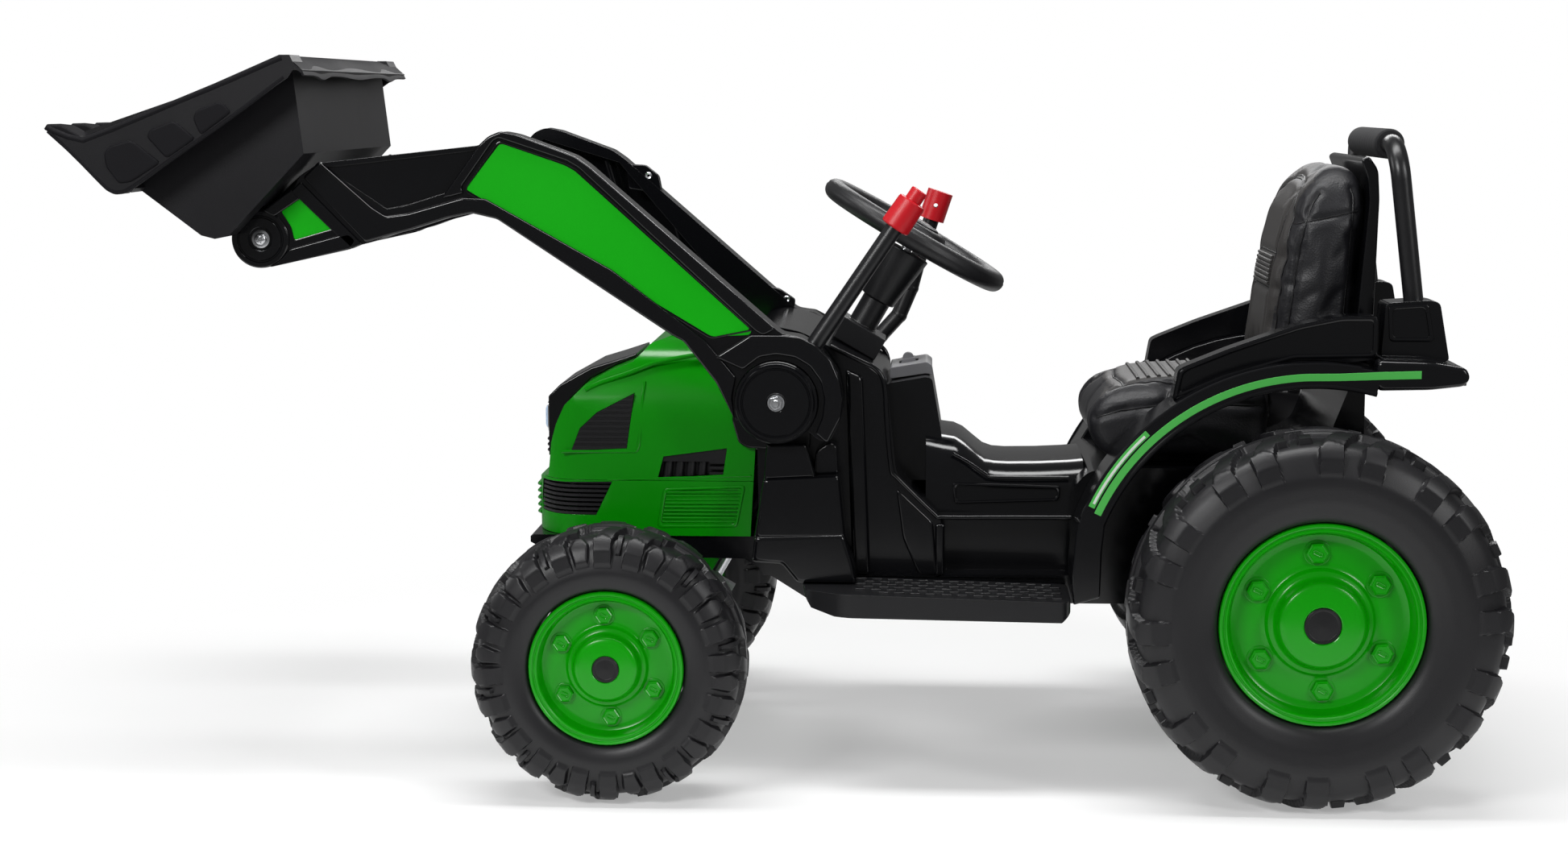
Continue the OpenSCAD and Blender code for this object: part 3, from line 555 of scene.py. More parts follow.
# Lugs of one period on one side: (degrees round, millimetres out from the crown), rise, edge
REAR_LUGS = [
    ([(-3.6, 45), (-4.0, 72), (4.0, 72), (3.6, 47), (1.0, 41)], 1.0, 1.3),
    ([(-17.8, 47), (-18.2, 72), (-10.4, 72), (-10.6, 44), (-15, 41)], 1.0, 1.3),
    ([(-3.9, 45), (-9.6, 12), (-3.4, 12), (2.9, 45)], 0.86, 1.5),
    ([(-17.8, 47), (-23.2, 14), (-17.2, 14), (-10.8, 47)], 0.86, 1.5),
    ([(5.6, 24), (5.6, 35), (9.4, 35), (9.4, 24)], 0.8, 1.3),
    ([(-23.0, 24), (-23.0, 35), (-19.8, 35), (-19.8, 24)], 0.8, 1.3),
    ([(-10.8, 15), (-24.4, 15), (-29, 3), (-6.2, 3)], 0.8, 2.0),
    ([(-18, 4), (-18, -4), (18, -4), (18, 4)], 0.55, 2.0),
]
FRONT_LUGS = [
    ([(-3.8, 37), (-4.2, 61), (4.2, 61), (3.8, 38), (1.0, 33)], 1.0, 1.2),
    ([(11.0, 38), (10.8, 61), (19.2, 61), (18.8, 37), (15, 33)], 1.0, 1.2),
    ([(6.2, 30), (6.6, 50), (8.4, 50), (8.4, 30)], 0.6, 1.0),
    ([(22.4, 41), (23.4, 58), (28.6, 58), (29.6, 41), (27.6, 34), (24.4, 34)], 0.5, 3.0),
    ([(-4.0, 38), (-8.8, 10), (-2.8, 10), (3.2, 38)], 0.86, 1.4),
    ([(11.0, 38), (6.2, 12), (12.4, 12), (18.6, 38)], 0.86, 1.4),
    ([(26.4, 14), (26.4, 26), (31.1, 26), (31.1, 14)], 0.8, 1.2),
    ([(3.2, 13), (-11.2, 13), (-15, 3), (9.2, 3)], 0.8, 1.8),
    ([(-18, 3.5), (-18, -3.5), (18, -3.5), (18, 3.5)], 0.55, 1.8),
]
REAR_CARCASS = [(104, 34), (101.6, 37), (101.6, 41), (104, 46), (110, 50.5), (124, 55.5), (140, 57.8),
                (150.5, 57.6), (152.2, 55.8), (154.5, 55.6), (162, 52.5), (170, 48.5), (177, 42), (180.5, 32),
                (182, 16), (182, 0)]
FRONT_CARCASS = [(80, 34), (78, 37.5), (78, 40.5), (80, 43), (84, 46), (92, 48.4), (99.5, 48.9), (101.5, 47.2),
                 (104, 47.2), (112, 45), (121, 41), (128, 35), (131.5, 27), (132.6, 14), (132.6, 0)]


def whole(profile):
    return profile + [(r, -z) for r, z in profile[-2::-1]]


WHEELS = [("rear", REAR_HUB, 241, 190, 35.0, REAR_LUGS, whole(REAR_CARCASS), 8.0),
          ("front", FRONT_HUB, 250, 140, 94.0, FRONT_LUGS, whole(FRONT_CARCASS), 7.4)]
for end, hub, y, r, turn, lugs, carcass, height in WHEELS:
    for side, word in ((LEFT, "left"), (RIGHT, "right")):
        tyre_piece(f"{end}_{word}_tyre_skin", hub, y, side, r, turn, lugs, carcass, height,
                   f"{end}_{word}_tyre", f"{end}_{word}_wheel")


# ---- Rims ----
def on_wheel(hub, y, side, turn):
    c, s = math.cos(math.radians(turn)), math.sin(math.radians(turn))
    return lambda u, v, h: (hub[0] + u * c - v * s, side * (y + h), hub[1] + u * s + v * c)


REAR_RIM = [(97, -34), (100.9, -34), (101.2, 36), (101.2, 41.5), (100.2, 43.2), (98.2, 43.6), (96.9, 42.9),
            (96.2, 41.6), (95.2, 41.6), (94.5, 42.4), (93.2, 42.6), (92.0, 41.6), (90.8, 38), (89.2, 28),
            (87.6, 24.4), (84.5, 22.6), (80, 22), (60, 22), (56.5, 22.4), (54.2, 23.8), (52.8, 26.6),
            (51.4, 28.4), (48.6, 29.2), (46.4, 30.4), (44.6, 33.2), (43.4, 38.6), (42.2, 41.8), (39.6, 43.9),
            (35, 44.8), (19.4, 46.0), (18.5, 45.4), (18.2, 43.8), (0.01, 43.8)]
FRONT_RIM = [(74, -28), (77.4, -28), (77.6, 38), (77.6, 42.0), (76.6, 43.6), (74.8, 43.9), (73.6, 43.2),
             (73.0, 42.1), (72.1, 42.1), (71.4, 42.8), (70.2, 43.0), (69.2, 42.1), (68.2, 38.6), (67.0, 32),
             (65.6, 29.2), (63, 27.8), (59, 27.4), (45, 27.4), (42.4, 27.8), (40.8, 28.9), (39.8, 30.8),
             (38.8, 32.2), (36.6, 32.8), (34.8, 33.8), (33.5, 36), (32.6, 40), (31.6, 42.6), (29.5, 44.2),
             (26, 45), (14.4, 46.0), (13.7, 45.5), (13.4, 44.3), (0.01, 44.3)]
for end, hub, y, prof, bolt_r, dish, k, turn in (("rear", REAR_HUB, 241, REAR_RIM, 69, 22, 1.0, 3.3),
                                                  ("front", FRONT_HUB, 250, FRONT_RIM, 51.5, 27.4, 0.82, 3.7)):
    for side, word in ((LEFT, "left"), (RIGHT, "right")):
        shape = Shape().add(*revolve(prof, 128))
        for b in range(6):
            a = math.radians(30 + 60 * b)
            cx, cy = bolt_r * math.cos(a), bolt_r * math.sin(a)
            one = Shape()
            one.add(*revolve([(13.4 * k, dish - 0.5), (13.2 * k, dish + 0.5), (12.2 * k, dish + 1.0)], 32))
            one.add(*stack(hexagon(11.2 * k, 0), [(0, dish + 0.6), (0.2 * k, dish + 5.2 * k),
                                                   (1.6 * k, dish + 6.2 * k), (2.4 * k, dish + 5.6 * k)]))
            pill = soft([(-2.6 * k, -5.2 * k), (2.6 * k, -5.2 * k), (2.6 * k, 5.2 * k), (-2.6 * k, 5.2 * k)],
                        2.4 * k)
            one.add(*stack(pill, [(0, dish + 5.0 * k), (0, dish + 6.4 * k), (0.5 * k, dish + 6.8 * k),
                                  (1.3 * k, dish + 6.4 * k), (1.5 * k, dish + 5.2 * k)]))
            one.moved(lambda u, v, h: (cx + u, cy + v, h))
            shape.add(one.v, one.f)
        spin = 90 - 30 + turn if side < 0 else 90 - 30 - turn
        shape.moved(on_wheel(hub, y, side, spin))
        shape.piece(f"{end}_{word}_rim_skin", RIM, f"{end}_{word}_wheel", "green_rim",
                    (f"{end}_{word}_rim",), 32)
        top = prof[-1][1]
        cap_r = prof[-2][0] - 0.3
        cap = Shape().add(*revolve([(cap_r, top), (cap_r, top + 1.6), (cap_r - 0.8, top + 2.3),
                                    (cap_r - 2.6, top + 2.3), (cap_r - 3.2, top + 1.9),
                                    (0.01, top + 2.5)], 48))
        cap.moved(on_wheel(hub, y, side, spin))
        cap.piece(f"{end}_{word}_hub_cap", SATIN, f"{end}_{word}_wheel", "black_matte_plastic")


# ---- Loader arms ----
def facing_left(pivot):
    return lambda u, v, h: (pivot[0] + u, -h, pivot[1] + v)


LOWER_BAND = [(-470, 639), (-487, 622), (-424, 556), (-396, 564), (-380, 568), (-339, 581), (-314, 586),
              (-288, 580), (-108, 461), (-98, 456), (-65, 414), (-46, 376), (-48, 400), (-44, 420),
              (-74, 456), (-171, 529), (-300, 601), (-324, 602), (-380, 586), (-403, 583), (-417, 592)]
UPPER_BAND = [(-345, 601), (-306, 655), (-296, 664), (-284, 669), (-268, 666), (-208, 644), (-195, 635),
              (-4, 469), (-16, 462), (-24, 466), (-204, 632), (-216, 639), (-285, 662), (-291, 659),
              (-324, 613), (-322, 606), (-334, 603)]
SHROUD = [(-66, 440), (-30, 463), (4, 463), (22, 461), (39, 452), (53, 438), (61, 419), (65, 398),
          (63, 378), (50, 353), (46, 354), (37, 362), (44, 379), (46, 398), (42, 416), (31, 431),
          (16, 440), (-3, 443), (-20, 440), (-37, 427)]
WRIST_BAR = [(-490, 618), (-500, 608), (-439, 549), (-427, 554)]
WRIST_FOOT = [(-512, 539), (-503, 549), (-441, 566), (-432, 558), (-439, 549), (-524, 530)]
WRIST_INLAY = [(-499, 556), (-449, 570.5), (-488, 604), (-513, 588), (-502, 571)]
WRIST_TOP = [(-530, 588), (-500, 610), (-491, 600), (-512, 586), (-518, 582)]
for side, word in ((LEFT, "left"), (RIGHT, "right")):
    arm = Shape()
    arm.add(*plate(LOWER_BAND, -178, -172, 2.6, 3, back=0))
    arm.add(*plate(UPPER_BAND, -177.5, -172, 2.4, 3, back=0))
    arm.add(*plate(SHROUD, -179.5, -172, 2.6, 3, back=0))
    arm.add(*plate(WRIST_BAR, -177, -172, 1.8, 2, back=0))
    arm.add(*plate(WRIST_FOOT, -177, -172, 2.0, 3, back=0))
    arm.add(*plate(WRIST_TOP, -177, -172, 1.8, 2, back=0))
    arm.add(*band(WRIST_INLAY, 1.7, -176, -173, 0.7, 3))
    arm.add(*band([(-70, 458.5), (-323, 609), (-285.5, 660), (-217.5, 638), (-205, 631.5), (-25, 467.5)], 1.8,
                  -176, -173, 0.7, 5))
    disc = Shape().add(*revolve([(0.01, 171), (9.5, 171), (10.6, 173.2), (12.6, 176.6), (21.5, 176.6),
                                 (22.4, 175.6), (23.4, 175.6), (24.4, 176.8), (28.2, 176.8),
                                 (29.6, 175.6), (29.8, 171)], 72))
    disc.moved(facing_left(BUCKET_PIVOT))
    arm.add(disc.v, disc.f)
    # Moulded stiffeners on the open inner face
    for a, b in (((-280, 650), (-282, 592)), ((-215, 636), (-190, 545)), ((-140, 575), (-120, 500))):
        arm.add(*tube([(a[0], -146, a[1] - 4), (b[0], -146, b[1] + 4)], 3.0, 10))
    arm.flipped(side)
    arm.piece(f"lift_arm_{word}_mouldings", GLOSS, "lift_arms", "black_gloss_plastic")
tabs = Shape()
tabs.add(*plate([(-192, 628), (-170, 627), (-155, 615), (-151, 594), (-190, 600)], 141, 150, 1.6, 3))
tabs.add(*plate([(-48, 494), (-18, 487), (0, 475), (-1, 465), (-48, 488)], 141, 150, 1.6, 3))
tabs.piece("cable_cover_tabs", GLOSS, "lift_arms", "black_gloss_plastic")
screws = Shape()
for x, z in ((-167, 615), (-10, 475)):
    head = Shape().add(*revolve([(0.01, 141.6), (1.3, 141.6), (1.5, 140.2), (3.2, 139.6), (4.0, 140.4),
                                 (4.0, 142)], 24))
    head.moved(lambda u, v, h: (x + u, h, z + v))
    screws.add(head.v, head.f)
screws.piece("cable_cover_screws", ZINC, "lift_arms", "zinc_steel")

# ---- Pivot discs ----
rings = Shape().add(*revolve([(9, 181.5), (9.6, 184), (11.2, 184.6), (33.6, 184.6), (34.4, 183.6), (35.2, 183.6),
                              (36, 184.6), (38.2, 184.6), (39.0, 182.6), (40.0, 181.4), (41.6, 181.4),
                              (42.4, 180.4), (42.4, 176)], 96))
rings.moved(facing_left(ARM_PIVOT)).mirrored()
rings.piece("pivot_disc_faces", GLOSS, "chassis", "black_gloss_plastic")

nuts, screws = Shape(), Shape()
nuts.add(*revolve([(0.01, 0.2), (6, 0.2), (6, 183.4), (0.01, 183.4)], 32))
nuts.add(*revolve([(0.01, 182.6), (8.6, 182.6), (8.6, 183.4), (0.01, 183.4)], 40))
nuts.add(*stack(hexagon(7.6, 15), [(0, 183.2), (0, 188.0), (0.7, 189.0), (2.4, 189.2)]))
nuts.add(*revolve([(3.9, 189), (3.9, 190.6), (3.2, 191.4), (0.01, 191.6)], 28))
nuts.moved(facing_left(ARM_PIVOT)).mirrored()
screws.add(*revolve([(6.6, 172), (6.6, 175.6), (6.0, 177.0), (4.4, 178.2), (2.6, 178.7), (1.7, 178.8), (1.5, 177.2),
                     (0.01, 177.0)], 40))
for turn in (20, 110):
    c, q = math.cos(math.radians(turn)), math.sin(math.radians(turn))
    for way in (1, -1):
        bar = Shape().add(*block((1.3 if way > 0 else -4.9, -0.5, 177.9),
                                 (4.9 if way > 0 else -1.3, 0.5, 179), 0.2))
        bar.moved(lambda u, v, h: (u * c - v * q, u * q + v * c, h))
        screws.add(bar.v, bar.f)
screws.add(*revolve([(9.2, 171), (9.2, 174), (7.4, 174.6), (6.4, 174.6)], 40))
screws.moved(facing_left(BUCKET_PIVOT)).mirrored()
screws.piece("bucket_bolts_skin", ZINC, "lift_arms", "zinc_steel", ("bucket_bolts",))
nuts.piece("loader_shaft_skin", ZINC, "chassis", "zinc_steel", ("loader_shaft",))

# ---- Bucket mouldings ----
PADS = [[(-669, 648), (-663, 655), (-642, 661), (-637, 659), (-612, 639), (-642, 620), (-655, 618), (-667, 634)],
        [(-625, 664), (-622, 671), (-599, 680), (-594, 678), (-576, 663), (-606, 643)],
        [(-578, 682), (-575, 690), (-552, 699), (-547, 697), (-539, 689), (-571, 666)]]
bucket_trim = Shape()
for pad in PADS:
    bucket_trim.add(*plate(pad, -252.4, -249, 2.2, 4, back=0))
rim_edge = [(-727, 674), (-720, 670), (-705, 664), (-690, 660.5), (-660, 671.5), (-600, 696), (-540, 720),
            (-498, 738), (-488, 742)]
bucket_trim.add(*tube([(x, -248.2, z) for x, z in rim_edge], 3.2, 12))
bucket_trim.add(*tube([(x, -215.0, z - 0.5) for x, z in rim_edge[3:]], 3.0, 12))
fold = smooth_path([(-725, -248.4, 670), (-700, -248.4, 647), (-672, -248.4, 618), (-664, -248.4, 611.5),
                    (-656, -248.4, 609.5), (-642, -248.4, 614.5), (-600, -248.4, 643.5), (-540, -248.4, 684),
                    (-486, -248.4, 723)], 4)
bucket_trim.add(*tube(fold, 2.4, 10))
bucket_trim.mirrored()
lip = []
for k in range(61):
    y = -249 + 498 * k / 60
    dip = 4 * math.exp(-((abs(y) - 165) / 24) ** 2) + 3 * math.exp(-(y / 60) ** 2)
    lip.append((y, dip))
lip_v, lip_f = [], []
for y, dip in lip:
    for x, z in ((-489, 744.5), (-479, 740.5 - 0.2 * dip), (-468.5, 731 - dip * 0.8), (-465.5, 725 - dip),
                 (-467.5, 724 - dip), (-471, 730 - dip * 0.8), (-481, 737.5), (-490, 741)):
        lip_v.append((x, y, z))
for k in range(60):
    for q in range(8):
        r = (q + 1) % 8
        lip_f.append((k * 8 + q, k * 8 + r, (k + 1) * 8 + r, (k + 1) * 8 + q))
lip_f += [tuple(range(8)), tuple(range(480, 488))[::-1]]
bucket_trim.add(lip_v, lip_f)
tooth_w = (494) / 13
for k in range(7):
    y0 = -247 + 2 * k * tooth_w
    bucket_trim.add(*plate([(-729, 673.5), (-727, 677), (-712, 675.5), (-693, 665), (-687, 651), (-693, 645)],
                           y0 - 0.6, y0 + tooth_w + 0.6, 2.0, 2))
bucket_trim.piece("bucket_rim_mouldings", EDGE, "bucket", "bucket_plastic")

# ---- Towers under the pivots ----
for side, word in ((LEFT, "left"), (RIGHT, "right")):
    tower = Shape()
    tower.add(*plate([(-14, 349), (-17, 311), (37, 314), (27, 350)], -165, -127.4, 4, 2, back=0))
    tower.add(*plate([(-17, 313.5), (-27, 251), (68, 252), (61, 317.5)], -169.5, -127.4, 4.5, 3, back=0))
    tower.add(*plate([(-26, 254), (-29, 227), (2, 225), (18, 205.6), (80, 205.6), (76, 226), (66, 257)],
                     -172, -127.4, 4.5, 4, back=0))
    tower.add(*plate([(-52, 371), (-45, 346), (-36, 341), (-16, 340), (30, 340), (30, 380), (-40, 420)],
                     -134.5, -127.4, 2, 4, back=0))
    tower.add(*plate([(34, 315), (60, 317), (58, 346), (50, 350), (36, 340)], -150, -127.4, 2.5, 3, back=0))
    tower.flipped(side)
    tower.piece(f"pivot_tower_{word}_skin", GLOSS, "chassis", "black_gloss_plastic", (f"pivot_tower_{word}",))

# ---- Dash, tunnel and console mouldings ----
body = Shape()
ridge = smooth_path([(50, -126.5, 447), (80, -126.5, 433), (97, -126.5, 424), (106, -126.5, 409),
                     (109, -126.5, 370), (114, -126.5, 320), (121, -126.5, 309), (160, -126.5, 271),
                     (168, -126.5, 268.5), (230, -126.5, 269), (301, -126.5, 269.5)], 5)
body.add(*tube(ridge, 2.6, 12))
body.add(*plate([(66, 424), (84, 416), (93, 207), (74, 207)], -131, -125, 5, 4, back=0, steps=4))
body.add(*plate([(119, 300), (158, 264), (163, 207), (143, 207), (126, 246)], -128.4, -125, 3, 6, back=0))
body.add(*plate([(160, 262), (170, 262), (170, 207), (160, 207)], -129.4, -125, 3.4, 2, back=0))
body.mirrored()
tunnel_v, tunnel_f = [], []
stations = [(150, 352), (168, 348), (180, 346.5), (190, 342), (202, 332), (212, 324), (222, 320.5), (236, 319.5),
            (270, 320), (300, 321.5), (316, 323)]
for x, top in stations:
    half = [(-97.5, 262), (-97.5, 268), (-96, 270), (-94, top - 30), (-90, top - 18), (-82, top - 8),
            (-70, top - 2.5), (-56, top), (0, top + 1.5)]
    for y, z in half + [(-y, z) for y, z in half[-2::-1]]:
        tunnel_v.append((x, y, z))
n = 17
for j in range(len(stations) - 1):
    tunnel_f += [(j * n + i, j * n + i + 1, (j + 1) * n + i + 1, (j + 1) * n + i) for i in range(n - 1)]
body.add(tunnel_v, tunnel_f)
lip_line = Shape().add(*tube(smooth_path([(178, -94.5, 331), (196, -94.5, 321), (214, -94.6, 309),
                                          (224, -94.6, 306.5), (300, -94.6, 306.5)], 5), 1.9, 10))
lip_line.add(*band([(178, 301), (292, 298), (290, 282), (180, 278)], 3, -98.4, -95, 1.4, 5)).mirrored()
body.add(lip_line.v, lip_line.f)
body.piece("body_mouldings", GLOSS, "chassis", "black_gloss_plastic", angle=40)

# ---- Footboard treads ----
treads = Shape()
for row in range(6):
    for col in range(13):
        x = 84 + 16 * col + (8 if row % 2 else 0)
        y = -137 - 14.5 * row
        if x > 284 or (x < 96 and row > 4):
            continue
        z = 204.6 - (x - 86) * 0.0265
        slant = 2.4 if col % 2 else -2.4
        pill = soft([(x - 5.5, y - 1.8 + slant * 0.3), (x + 5.5, y - 1.8 - slant * 0.3),
                     (x + 5.5, y + 1.8 - slant * 0.3), (x - 5.5, y + 1.8 + slant * 0.3)], 1.7, 3)
        treads.add(*stack(pill, [(0, z - 0.6), (0, z + 0.5), (0.5, z + 1.1)]))
treads.mirrored()
treads.piece("footboard_treads", SATIN, "chassis", "black_matte_plastic")

# ---- Fender, armrest and bumper mouldings ----
ARMREST = [(399, 398), (452, 421), (520, 441), (603, 443), (603, 485), (566, 484.5), (524, 475.5), (456, 451.5),
           (412, 433.5), (405, 428)]
rear = Shape()
rear.add(*band(ARMREST, 5.0, -177, -173, 2.0, 5))
rear.add(*tube([(x, -209.2, z) for x, z in arc(REAR_HUB, 227.5, 158, 75, 40)], 2.6, 10))
rear.add(*tube([(x, -207.6, z) for x, z in arc(REAR_HUB, 249.0, 158, 80, 40)], 2.4, 10))
rear.add(*plate([(598, 413), (650, 414), (684, 418), (690, 426), (686, 436), (650, 442), (598, 443.5)],
                -209, -186, 4, 6, back=0))
for z in (420.5, 426.5, 432.5):
    rear.add(*tube([(652, -206, z), (686, -204, z)], 2.2, 8))
rear.add(*band([(615, 494), (655, 497), (662, 458), (617, 458)], 4, -162, -158, 1.4, 5))
rear.mirrored()
rear.piece("fender_mouldings", GLOSS, "chassis", "black_gloss_plastic")
stripe = Shape().add(*plate(arc(REAR_HUB, 240.2, 156, 92, 48) + [(560, 430.4), (600, 432.2), (641, 433.4),
                                                                 (641, 425.6), (600, 424.4), (560, 423.0)]
                            + arc(REAR_HUB, 232.8, 92, 156, 48), -210.6, -209, 0.3, back=0))
stripe.add(*plate(arc(REAR_HUB, 248.4, 155, 133, 18) + arc(REAR_HUB, 242.0, 133, 155, 18), -210.6, -209, 0.3,
                  back=0))
stripe.mirrored()
stripe.piece("fender_stripes_skin", STRIPE, "chassis", "green_decal", ("fender_stripes",))
# A pale strip inside the upper stripe: a painted highlight, not a printed line.
highlight_strip = Shape().add(*plate(arc(REAR_HUB, 243.4, 154, 134, 14) + arc(REAR_HUB, 246.0, 134, 154, 14),
                          -211.2, -210.2, 0.2, back=0)).mirrored()
highlight_strip.piece("painted_highlight_stripes", PAINTED_HIGHLIGHT, "chassis", "green_decal")

# ---- Hood creases and seams ----
hood = Shape()
for line, r in (
        ([(-232, 334.5), (-221, 335), (-190, 335.2), (-160, 335.4), (-152, 337), (-149, 352), (-146, 392),
          (-144.5, 408)], 1.6),
        ([(-207, 399), (-190, 407), (-160, 417), (-134, 427), (-100, 434), (-60, 439), (-36, 441)], 2.4),
        ([(-184, 305.4), (-120, 307.6), (-40, 310.6), (-32, 311)], 1.2)):
    hood.add(*tube(smooth_path([(x, -126.6 if z < 380 else -126.6 + (z - 380) * 0.34, z) for x, z in line], 5),
                   r, 10))
hood.add(*band([(-124, 297), (-38, 301), (-47, 256), (-131, 255)], 3.2, -128.4, -125.5, 1.3, 5))
for k in range(9):
    z = 261.5 + 3.9 * k
    hood.add(*tube([(-126 + 0.6 * k, -126.8, z), (-49 + 0.9 * k, -126.8, z + 0.4)], 1.25, 8))
hood.mirrored()
hood.piece("hood_mouldings", GREEN, "chassis", "green_body")

# ---- Headlights and the bars between them ----
def square(side, r):
    return soft([(-side / 2, -side / 2), (side / 2, -side / 2), (side / 2, side / 2), (-side / 2, side / 2)], r)


lenses, bezels = Shape(), Shape()
for y in (-41, 41):
    lens = Shape().add(*stack(square(29, 6), [(0, -3.5), (0, 2.2), (1.0, 3.4), (3.6, 4.2), (8, 4.6)]))
    for k in range(-4, 5):
        lens.add(*tube([(3.0 * k, -11, 3.4), (3.0 * k, -8, 4.4), (3.0 * k, 8, 4.4), (3.0 * k, 11, 3.4)], 0.9, 8))
    bezel = Shape().add(*stack(square(33.6, 7), [(0, -1), (0, 1.6), (0.8, 2.6), (1.8, 2.8), (2.4, 2.0)]))
    for shape, total in ((lens, lenses), (bezel, bezels)):
        shape.moved(lambda u, v, h: (-253.4 - h, y + u, 363 + v))
        total.add(shape.v, shape.f)
lenses.piece("headlight_lenses", LENS, "chassis", "lens", ("headlights",))
bezels.piece("headlight_bezels", ZINC, "chassis", "zinc_steel")
bars = Shape()
for k in range(6):
    bars.add(*tube([(-253.6, -20, 349 + 5.6 * k), (-255, -18, 349 + 5.6 * k), (-255, 18, 349 + 5.6 * k),
                    (-253.6, 20, 349 + 5.6 * k)], 1.9, 10))
for z in (327, 333, 339):
    bars.add(*tube([(-253.0, -58, z), (-254.8, -55, z), (-254.8, 55, z), (-253.0, 58, z)], 2.1, 10))
bars.piece("visor_bars", SATIN, "chassis", "black_matte_plastic")
slats = Shape()
for k in range(5):
    z = 262 + 7.5 * k
    slats.add(*tube([(-260.5, -72, z), (-264.0, -66, z), (-264.8, 0, z), (-264.0, 66, z),
                     (-260.5, 72, z)], 2.3, 10))
slats.piece("hood_front_slats", GREEN, "chassis", "green_body")

# ---- Steering wheel, horn and grips ----
def on_steering(u, v, h):
    return 136 + 0.8660254 * u + 0.5 * h, v, 556 - 0.5 * u + 0.8660254 * h


ring_profile = []
for k in range(40):
    a = 2 * math.pi * k / 40
    groove = 0.55 * math.exp(-((math.degrees(a) - 20) / 5) ** 2)
    ring_profile.append((98.5 + (11.3 - groove) * math.cos(a), (11.0 - groove) * math.sin(a)))
wheel = Shape().add(*revolve(ring_profile, 120, closed=True))
wheel.add(*revolve([(0.01, -14), (27, -14), (33, -11), (34, -6), (34, 6), (32, 11), (28, 13.4), (23.6, 13.6),
                    (22.4, 12.4), (22.3, 4), (0.01, 4)], 64))
for turn in (-90, 0, 90):
    spoke = Shape()
    form = soft([(26, -17), (60, -11), (93, -15), (93, 15), (60, 11), (26, 17)], 10, 5)
    spoke.add(*stack(form, [(3, -8), (0.8, -7), (0, -4.5), (0, 1), (0.8, 3.2), (3, 4.4), (7.6, 3.2)]))
    c, q = math.cos(math.radians(turn)), math.sin(math.radians(turn))
    spoke.moved(lambda u, v, h: (u * c - v * q, u * q + v * c, h))
    wheel.add(spoke.v, spoke.f)
wheel.moved(on_steering)
wheel.piece("steering_wheel_skin", WHEEL, "steering_wheel", "wheel_rubber", ("steering_wheel",), 40)
horn = Shape().add(*revolve([(0.01, 8), (21.4, 8), (21.6, 13), (20.6, 15.2), (18, 16.2), (16.8, 15.6),
                             (15.6, 16.4), (9, 17.4), (0.01, 17.8)], 48)).moved(on_steering)
horn.piece("horn_button_skin", SATIN, "horn_button", "black_matte_plastic", ("horn_button",))


def along(foot, way):
    way = np.array(way, float) / np.linalg.norm(way)
    side = np.cross(way, (0, 1, 0))
    side /= np.linalg.norm(side)
    up = np.cross(way, side)
    return lambda u, v, h: tuple(np.array(foot, float) + u * side + v * up + h * way)


LEVER_FOOT, LEVER_WAY = np.array((26, -155, 438.0)), np.array((84, 0, 124)) / math.hypot(84, 124)
LEVER_TOP = LEVER_FOOT + 161 * LEVER_WAY
grip = Shape().add(*revolve([(9.1, 0), (14.2, 0), (15.4, 1.2), (15.6, 3), (15.0, 30), (14.4, 32.2), (12.8, 33),
                             (9.4, 33), (9.3, 20), (0.01, 20)], 48))
grip.moved(along(LEVER_TOP, LEVER_WAY))
grip.piece("lift_lever_grip_skin", RED, "lift_arms", "red_grip", ("lift_lever_grip",))
button = Shape().add(*revolve(rounded_rod(8.8, 26.5, 46, 1.4), 40)).moved(along(LEVER_TOP, LEVER_WAY))
button.piece("release_button_skin", RED, "release_button", "red_grip", ("release_button",))
refined("tilt_lever_knob", 2.0, RED, "tilt_lever")


# ---- Seat cushion and backrest ----

VOXEL, PRESSURE, LAST_FRAME = 0.005, 4, 20
SEAM_DEPTH, SEAM_WIDTH = 2.0, 3.4


